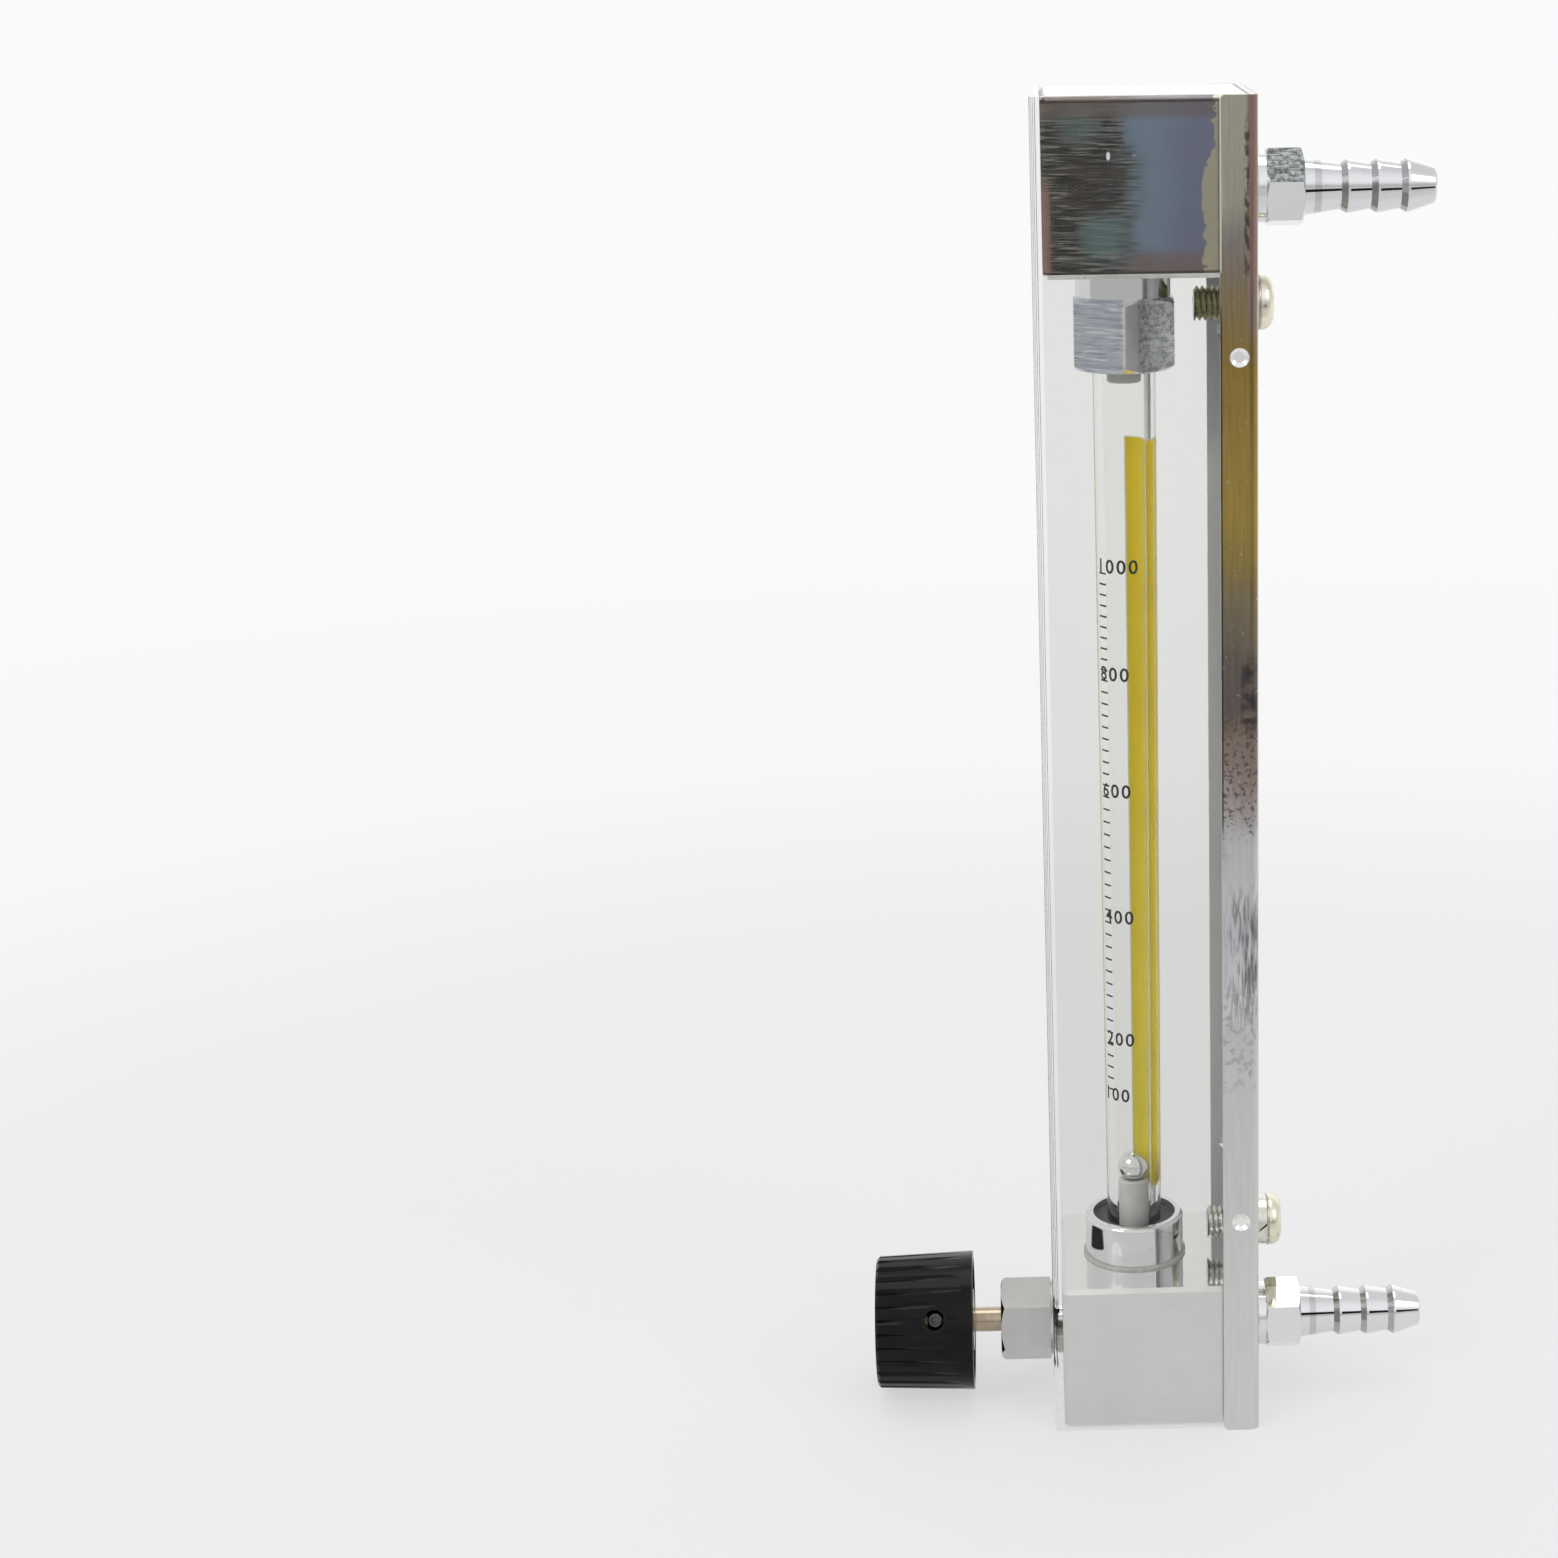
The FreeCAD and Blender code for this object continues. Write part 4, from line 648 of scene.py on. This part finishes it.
def barb_marks(tree, place, colour, polish):
    """Painted dark reflection on the outlet hexagon's upper face, the inlet's olive cast, a darker neck and
    shaded steps.
    """
    x = axis_of(tree, place, "X")
    hexagon = within(tree, x, *hexagon_length)
    outlet_up = (0, -math.cos(outlet_turn), math.sin(outlet_turn))
    outlet_face = within(tree, along_direction(tree, place, outlet_up, outlet_axis), *hexagon_face)
    dulled_painted_face = times(tree, hexagon, outlet_face)
    # the outlet hexagon's upper face is painted dark and speckled: a painted reflection of what lies overhead
    face = mixed(tree, patchy(tree, place, 1.1 * MM, 0.36, 0.62), (0.10, 0.115, 0.115), (0.34, 0.36, 0.35))
    face = painted(tree, face, (0.05, 0.055, 0.055), 0.6, streaky(tree, place, (260, 2600, 2600), 0.5, 0.62))
    colour = mixed(tree, dulled_painted_face, colour, face)
    inlet_up = (0, -math.sin(inlet_turn), math.cos(inlet_turn))
    inlet_face = within(tree, along_direction(tree, place, inlet_up, inlet_axis), *hexagon_face)
    colour = painted(tree, colour, (0.33, 0.34, 0.22), 0.7, hexagon, inlet_face, within(tree, x, *olive_length))
    colour = painted(tree, colour, (0.22, 0.23, 0.24), 0.35, within(tree, x, *neck_groove))
    # painted shade on the backward-facing steps of the barb
    colour = painted(tree, colour, (0.22, 0.23, 0.235), 0.6, facing(tree, "X", -1.0, 0.25),
                     within(tree, x, *barb_length))
    return colour, figured(tree, "ADD", polish, times(tree, dulled_painted_face, 0.22))


barb_chrome, tree, shader = chrome("barb_chrome", barb_marks, 0.78, 0.05)
bump(tree, shader, streaky(tree, place_vector(tree), (2600, 60, 60), 0.3, 0.7), 0.002 * MM)
dress("inlet_barb", barb_chrome)
dress("outlet_barb", barb_chrome)


# ---- Cup, gland nut and valve bonnet ----
# Turned brass, chromed: the round cup the tube stands in, the hexagon nut at its top and the
# hexagon of the needle valve. Flats show the fine lines of milling.
nut_height = (252.6 * MM, 269.2 * MM, 0.1 * MM)
rear_flat = (2.2 * MM, 20 * MM, 0.8 * MM)
front_flat = (-20 * MM, -0.8 * MM, 0.3 * MM)
milled_flat = (-20 * MM, 0.2 * MM, 0.3 * MM)
near_corner = (-0.2 * MM, 3 * MM, 0.4 * MM)
rear_flat_reflection_green = (0.26, 0.29, 0.25)
front_flat_reflection_blue = (0.46, 0.52, 0.60)
milling_dark = (0.24, 0.29, 0.38)
painted_milling_glints = (0.95, 0.97, 1.0)


def flat_marks(tree, place, colour, polish):
    """Fine level lines on the flats with painted glints, a painted highlight at the near corner, painted
    reflection tones on two flats.
    """
    nut = within(tree, axis_of(tree, place, "Z"), *nut_height)
    x = axis_of(tree, place, "X")
    # painted reflection tones: green-grey in patches on the rear flat, blue on the front flat
    colour = painted(tree, colour, rear_flat_reflection_green, 0.75, nut, within(tree, x, *rear_flat),
                     patchy(tree, place, 1.1 * MM, 0.40, 0.62))
    colour = painted(tree, colour, front_flat_reflection_blue, 0.65, nut, within(tree, x, *front_flat))
    colour = painted(tree, colour, milling_dark, 0.45, nut, within(tree, x, *milled_flat),
                     streaky(tree, place, (140, 140, 1700), 0.48, 0.58))
    # painted glints along the milling lines, and a painted highlight band at the near corner
    colour = painted(tree, colour, painted_milling_glints, 0.5, nut, streaky(tree, place, (150, 150, 1900), 0.56, 0.62))
    colour = painted(tree, colour, (1.0, 1.0, 1.0), 1.0, nut, within(tree, x, *near_corner))
    return colour, figured(tree, "ADD", polish, times(tree, nut, 0.09))


nut_chrome, tree, shader = chrome("nut_chrome", flat_marks, 0.80, 0.05)
dress("gland_nut", nut_chrome)
cup_chrome, tree, shader = chrome("cup_chrome", None, 0.80, 0.05)
bump(tree, shader, streaky(tree, place_vector(tree), (60, 60, 2600), 0.3, 0.7), 0.002 * MM)
dress("tube_cup", cup_chrome)


def satin_cast_and_painted_shade(tree, place, colour, polish):
    """A grey-green satin cast, with painted shade on the upper flats."""
    cast = patchy(tree, place, 6 * MM, 0.3, 0.7)
    colour = mixed(tree, cast, (0.50, 0.505, 0.49), (0.54, 0.545, 0.53))
    # painted shade: the upward-facing flats are painted darker
    colour = mixed(tree, facing(tree, "Z", 1.0, 0.25), colour, (0.25, 0.255, 0.24))
    return colour, figured(tree, "ADD", polish, 0.16)


bonnet_chrome, tree, shader = chrome("bonnet_chrome", satin_cast_and_painted_shade, 0.6, 0.05)
dress("valve_bonnet", bonnet_chrome)


# ---- Washers and nuts ----
# Stamped and machined steel, zinc-plated with a faint yellow cast: the barbs' washers, the panel
# screws' flat and spring washers, and the two nuts behind the channel.
def zinc_plate(name, first, second):
    """Zinc plate with a cast, duller in patches."""
    material, tree, shader = new_material(name, 0.3, 1.0)
    bloom = patchy(tree, place_vector(tree), 3 * MM, 0.3, 0.7)
    tree.links.new(mixed(tree, bloom, first, second), shader.inputs["Base Color"])
    rough = figured(tree, "ADD", figured(tree, "MULTIPLY", bloom, 0.14), 0.18)
    tree.links.new(rough, shader.inputs["Roughness"])
    return material


zinc = zinc_plate("zinc_steel", (0.80, 0.79, 0.73), (0.70, 0.69, 0.62))
for node in ("barb_washers", "panel_washers", "spring_washers", "panel_nuts"):
    dress(node, zinc)


# ---- Panel screws ----
# Two M8 pan-head screws with a cross recess, cold-headed steel with rolled threads, yellow
# zinc-plated. They run in the nuts behind the channel and clamp the panel under their heads.
thread_pitch = 1.25 * MM
thread_crest = 3.92 * MM
thread_root = 3.2 * MM
shank_cut = 28.9 * MM
screw_levels = (43.0 * MM, 267.0 * MM)
screw_ends = (17.9 * MM, 15.9 * MM)
thread_overlap = 0.4 * MM
thread_turns = 14
thread_sides = 28
# one turn of the thread: its share of the pitch, and whether it climbs or falls
thread_steps = ((0.16, 0.0), (0.34, 1.0), (0.16, 0.0), (0.34, -1.0))
weld = 0.002 * MM


def only(*objects):
    """Selects these objects and nothing else."""
    bpy.ops.object.select_all(action="DESELECT")
    for one in objects:
        one.select_set(True)
    bpy.context.view_layer.objects.active = objects[0]


def settle(piece):
    """Puts a piece's place, turn and size into its mesh."""
    only(piece)
    bpy.ops.object.transform_apply(location=True, rotation=True, scale=True)


def cut_away(plane_point, plane_normal, fill):
    """In edit mode: removes what lies behind a plane, all of the mesh being selected first."""
    bpy.ops.mesh.select_all(action="SELECT")
    bpy.ops.mesh.bisect(plane_co=plane_point, plane_no=plane_normal, use_fill=fill, clear_inner=True)


def apply_all(piece):
    """Applies the piece's modifiers in order."""
    only(piece)
    for modifier in list(piece.modifiers):
        bpy.ops.object.modifier_apply(modifier=modifier.name)


yellow_zinc = zinc_plate("yellow_zinc", (0.86, 0.83, 0.70), (0.74, 0.70, 0.54))
tree = yellow_zinc.node_tree
shader = tree.nodes["Principled BSDF"]
plate = shader.inputs["Base Color"].links[0].from_socket
place = place_vector(tree)
# the threads behind the channel are painted darker, the upper one darkest: painted shade under the upper block
inside = within(tree, axis_of(tree, place, "X"), -beyond, shank_cut - 0.4 * MM, 0.1 * MM)
upper_screw = within(tree, axis_of(tree, place, "Z"), *upper_half)
thread_tone_and_painted_shade = mixed(tree, upper_screw, (0.50, 0.50, 0.48), (0.24, 0.23, 0.12))
tree.links.new(mixed(tree, inside, plate, thread_tone_and_painted_shade), shader.inputs["Base Color"])
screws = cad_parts["panel_screws"]
only(screws)
bpy.ops.object.duplicate(linked=False)
heads = bpy.context.object
for key in list(heads.keys()):
    del heads[key]
heads.parent = None
heads.name = "threaded_panel_screws"
only(heads)
bpy.ops.object.mode_set(mode="EDIT")
bpy.ops.mesh.select_all(action="SELECT")
bpy.ops.mesh.remove_doubles(threshold=weld)
cut_away((shank_cut, 0, 0), (1, 0, 0), True)
bpy.ops.object.mode_set(mode="OBJECT")

bpy.ops.mesh.primitive_plane_add(size=MM, location=(-thread_pitch, 0, thread_root))
thread = bpy.context.object
settle(thread)
bpy.ops.object.mode_set(mode="EDIT")
bpy.ops.mesh.select_all(action="SELECT")
bpy.ops.mesh.merge(type="CENTER")
rise = thread_crest - thread_root
for share_of_pitch, way in thread_steps:
    move = (share_of_pitch * thread_pitch, 0, way * rise)
    bpy.ops.mesh.extrude_region_move(TRANSFORM_OT_translate={"value": move})
bpy.ops.object.mode_set(mode="OBJECT")
turns = thread.modifiers.new("turns", "SCREW")
turns.axis = "X"
turns.screw_offset = thread_pitch
turns.iterations = thread_turns
turns.steps = thread_sides
turns.render_steps = thread_sides
turns.use_merge_vertices = True
turns.merge_threshold = weld
apply_all(thread)
threads = [thread]
only(thread)
bpy.ops.object.duplicate(linked=False)
threads.append(bpy.context.object)
for thread, level, free_end in zip(threads, screw_levels, screw_ends):
    thread.location = (free_end, 0, level)
    settle(thread)
    bpy.ops.object.mode_set(mode="EDIT")
    cut_away((free_end, 0, level), (1, 0, 0), True)
    cut_away((shank_cut + thread_overlap, 0, level), (-1, 0, 0), True)
    bpy.ops.mesh.select_all(action="SELECT")
    bpy.ops.mesh.remove_doubles(threshold=weld)
    bpy.ops.mesh.normals_make_consistent(inside=False)
    bpy.ops.object.mode_set(mode="OBJECT")
only(heads, *threads)
bpy.ops.object.join()
heads.data.materials.clear()
heads.data.materials.append(yellow_zinc)
bpy.ops.object.shade_smooth_by_angle(angle=math.radians(35))
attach(heads, "frame")
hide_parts("panel_screws")


# ---- Glass tube ----
# Drawn borosilicate tube, bored to a taper. It is colourless, with a very faint waviness from
# the drawing.
def clear_material(name, colour, index, waviness, gloss):
    """Clear glass or acrylic that lets lamps shine through it; gloss is how much it reflects."""
    material, tree, shader = new_material(name, 0.0, 0.0, colour)
    shader.inputs["Transmission Weight"].default_value = 1.0
    shader.inputs["IOR"].default_value = index
    shader.inputs["Specular Tint"].default_value = (gloss, gloss, gloss, 1)
    bump(tree, shader, patchy(tree, place_vector(tree), 30 * MM, 0.2, 0.8), waviness)
    open_way = tree.nodes.new("ShaderNodeBsdfTransparent")
    open_way.inputs["Color"].default_value = (*(math.sqrt(part) for part in colour), 1)
    path = tree.nodes.new("ShaderNodeLightPath")
    mix = tree.nodes.new("ShaderNodeMixShader")
    tree.links.new(path.outputs["Is Shadow Ray"], mix.inputs[0])
    tree.links.new(shader.outputs[0], mix.inputs[1])
    tree.links.new(open_way.outputs[0], mix.inputs[2])
    tree.links.new(mix.outputs[0], tree.nodes["Material Output"].inputs["Surface"])
    return material


dress("glass_tube", clear_material("clear_glass", (0.97, 0.975, 0.965), 1.47, 0.02 * MM, 0.3))


# ---- Backing stripe ----
# A strip of yellow enamel fired on the back of the tube, on a thin cream ground that shows at
# its edges. The float is read against it.
stripe_foot = 53.5 * MM
stripe_head = 236.0 * MM
stripe_near_edge = math.radians(-17)
stripe_film = 0.03 * MM
ground_film = 0.04 * MM
ground_foot = stripe_foot - 0.8 * MM
ground_head = stripe_head + 0.3 * MM
tube_foot, tube_head = 34.5 * MM, 287.0 * MM
foot_radius, head_radius = 6.5 * MM, 7.3 * MM
stripe_ramp_top = 300 * MM
yellow_by_height = [
    (50 * MM, (1.0, 0.82, 0.06)), (110 * MM, (1.0, 0.80, 0.04)),
    (160 * MM, (1.0, 0.76, 0.0)), (240 * MM, (1.0, 0.74, 0.0)),
]


def tube_radius(level):
    """The tube's outer radius at a height."""
    return foot_radius + (head_radius - foot_radius) * (level - tube_foot) / (tube_head - tube_foot)


def enamel_strip(name, gap, film, far_edge, foot, head, material):
    """A strip of enamel on the rear half of the tube, from its far side round to the near edge."""
    bpy.ops.object.select_all(action="DESELECT")
    bpy.ops.mesh.primitive_cone_add(
        vertices=180, radius1=tube_radius(foot) + gap, radius2=tube_radius(head) + gap, depth=head - foot,
        end_fill_type="NOTHING", location=(0, 0, (foot + head) / 2))
    strip = bpy.context.object
    strip.name = name
    settle(strip)
    bpy.ops.object.mode_set(mode="EDIT")
    cut_away((far_edge, 0, 0), (1, 0, 0), False)
    cut_away((0, 0, 0), (-math.sin(stripe_near_edge), math.cos(stripe_near_edge), 0), False)
    bpy.ops.object.mode_set(mode="OBJECT")
    wall = strip.modifiers.new("wall", "SOLIDIFY")
    wall.thickness = film
    wall.offset = 1.0
    apply_all(strip)
    bpy.ops.object.shade_smooth_by_angle(angle=math.radians(30))
    strip.data.materials.clear()
    strip.data.materials.append(material)
    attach(strip, "frame")


yellow_enamel, tree, shader = new_material("yellow_enamel", 0.35)
shader.inputs["Specular IOR Level"].default_value = 0.0
place = place_vector(tree)
yellow = ramp(tree, axis_of(tree, place, "Z"), yellow_by_height, 0.0, stripe_ramp_top)
yellow = painted(tree, yellow, (0.94, 0.74, 0.02), 0.25, patchy(tree, place, 20 * MM, 0.3, 0.7))
tree.links.new(yellow, shader.inputs["Base Color"])
cream_enamel, tree, shader = new_material("cream_enamel", 0.4)
tone = patchy(tree, place_vector(tree), 10 * MM, 0.3, 0.7)
tree.links.new(mixed(tree, tone, (1.0, 0.93, 0.60), (0.96, 0.88, 0.54)), shader.inputs["Base Color"])
enamel_strip("backing_stripe", 0.01 * MM, stripe_film, 0.45 * MM, stripe_foot, stripe_head, yellow_enamel)
enamel_strip("stripe_ground", 0.05 * MM, ground_film, 0.0, ground_foot, ground_head, cream_enamel)


# ---- Scale ----
# Black figures and graduation lines screen-printed on the tube and fired in, from 100 just above
# the float's rest to 1000 near the top. Each line stands at the foot of its figures.
ink = 0.02 * MM
digit_height = 3.2 * MM
digit_share = 0.70
digit_pitch = 1.22
digit_weight = 0.07 * MM
unroll_radius = 7.0 * MM
line_length = 2.4 * MM
line_width = 0.42 * MM
line_start = math.radians(27) * unroll_radius
foot_gap = 0.25 * MM
print_gap = 0.005 * MM
# each figure's text, height, start in degrees round the tube, and the lines from it to the next
figures = (
    ("1000", 206.3 * MM, 23.5, 10), ("800", 181.0 * MM, 27.0, 10), ("600", 153.0 * MM, 27.5, 10),
    ("400", 122.1 * MM, 30.5, 10), ("200", 91.4 * MM, 29.0, 5), ("100", 77.1 * MM, 18.0, 0),
)
prints = []
for number, (label, level, start_angle, steps_below) in enumerate(figures):
    bpy.ops.object.select_all(action="DESELECT")
    bpy.ops.object.text_add()
    text = bpy.context.object
    text.data.body = label
    text.data.size = digit_height / digit_share
    text.data.space_character = digit_pitch
    text.data.resolution_u = 3
    text.data.offset = digit_weight
    bpy.ops.object.convert(target="MESH")
    text = bpy.context.object
    text.location = (math.radians(start_angle) * unroll_radius, level + foot_gap, 0)
    settle(text)
    bpy.ops.object.mode_set(mode="EDIT")
    bpy.ops.mesh.select_all(action="SELECT")
    bpy.ops.mesh.quads_convert_to_tris()
    bpy.ops.mesh.subdivide(number_cuts=1)
    bpy.ops.object.mode_set(mode="OBJECT")
    prints.append(text)
    if not steps_below:
        continue
    bpy.ops.mesh.primitive_plane_add(size=1)
    line = bpy.context.object
    line.scale = (line_length, line_width, 1)
    line.location = (line_start + line_length / 2, level, 0)
    settle(line)
    bpy.ops.object.mode_set(mode="EDIT")
    bpy.ops.mesh.select_all(action="SELECT")
    bpy.ops.mesh.subdivide(number_cuts=5)
    bpy.ops.object.mode_set(mode="OBJECT")
    below = line.modifiers.new("below", "ARRAY")
    below.use_relative_offset = False
    below.use_constant_offset = True
    below.constant_offset_displace = (0, (figures[number + 1][1] - level) / steps_below, 0)
    below.count = steps_below
    apply_all(line)
    prints.append(line)
only(*prints)
bpy.ops.object.join()
scale_print = bpy.context.object
scale_print.name = "scale_print"
for corner in scale_print.data.vertices:
    angle = corner.co.x / unroll_radius
    radius = tube_radius(corner.co.y) + print_gap
    corner.co = (-radius * math.cos(angle), -radius * math.sin(angle), corner.co.y)
scale_print.data.update()
bpy.ops.object.mode_set(mode="EDIT")
bpy.ops.mesh.select_all(action="SELECT")
bpy.ops.mesh.remove_doubles(threshold=0.001 * MM)
bpy.ops.object.mode_set(mode="OBJECT")
film = scale_print.modifiers.new("film", "SOLIDIFY")
film.thickness = ink
film.offset = 1.0
apply_all(scale_print)
black_ink, tree, shader = new_material("black_ink", 0.5)
tone = patchy(tree, place_vector(tree), 0.8 * MM, 0.3, 0.7)
tree.links.new(mixed(tree, tone, (0.010, 0.010, 0.010), (0.035, 0.034, 0.033)), shader.inputs["Base Color"])
scale_print.data.materials.clear()
scale_print.data.materials.append(black_ink)
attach(scale_print, "frame")


# ---- Clear cover ----
# Extruded acrylic channel, tucked inside the flanges of the back channel. It is nearly
# colourless, with a faint grey cast.
dress("clear_cover", clear_material("clear_acrylic", (0.890, 0.892, 0.883), 1.49, 0.01 * MM, 0.2))


# ---- Plain small parts ----
# Plastic post and float stop, rubber rings, fibre ring, brass bushes, steel ball and stem.
def plain_finish(name, first, second, roughness, metallic, size):
    """A finish with a slight change of tone over patches of a size."""
    material, tree, shader = new_material(name, roughness, metallic)
    tone = patchy(tree, place_vector(tree), size, 0.3, 0.7)
    tree.links.new(mixed(tree, tone, first, second), shader.inputs["Base Color"])
    tree.links.new(
        figured(tree, "ADD", figured(tree, "MULTIPLY", tone, roughness * 0.3), roughness * 0.85),
        shader.inputs["Roughness"])
    return material


# each finish: its two tones, roughness, metallic, patch size and the nodes that wear it
finishes = (
    ("ball_steel", (0.80, 0.80, 0.79), (0.74, 0.74, 0.74), 0.03, 1.0, 4 * MM, ("float_ball",)),
    ("white_plastic", (0.74, 0.74, 0.73), (0.68, 0.68, 0.67), 0.35, 0.0, 3 * MM,
     ("float_post", "bonnet_washer", "valve_seat")),
    ("pale_plastic", (0.90, 0.91, 0.88), (0.84, 0.85, 0.82), 0.4, 0.0, 4 * MM, ("upper_float_stop",)),
    ("fibre", (0.62, 0.61, 0.58), (0.50, 0.49, 0.46), 0.8, 0.0, 1.5 * MM, ("cup_joint_ring",)),
    ("black_rubber", (0.06, 0.06, 0.062), (0.09, 0.09, 0.092), 0.55, 0.0, 2 * MM,
     ("tube_foot_seal", "lower_packing", "upper_packing", "bonnet_seal", "stem_seals", "port_seals")),
    ("brass", (0.50, 0.42, 0.27), (0.42, 0.35, 0.22), 0.3, 1.0, 4 * MM, ("gland_ring", "knob_insert")),
    ("stem_steel", (0.44, 0.37, 0.28), (0.36, 0.29, 0.21), 0.16, 1.0, 4 * MM, ("valve_stem",)),
    ("black_steel", (0.05, 0.05, 0.05), (0.10, 0.10, 0.10), 0.22, 1.0, 2 * MM, ("knob_set_screw",)),
    ("black_plastic", (0.004, 0.004, 0.0045), (0.007, 0.007, 0.007), 0.16, 0.0, 6 * MM, ("valve_knob",)),
)
for name, first, second, roughness, metallic, size, wearers in finishes:
    finish = plain_finish(name, first, second, roughness, metallic, size)
    for node in wearers:
        dress(node, finish)
# the last finish is the knob's, whose moulded face is duller than smooth plastic
finish.node_tree.nodes["Principled BSDF"].inputs["Specular IOR Level"].default_value = 0.13
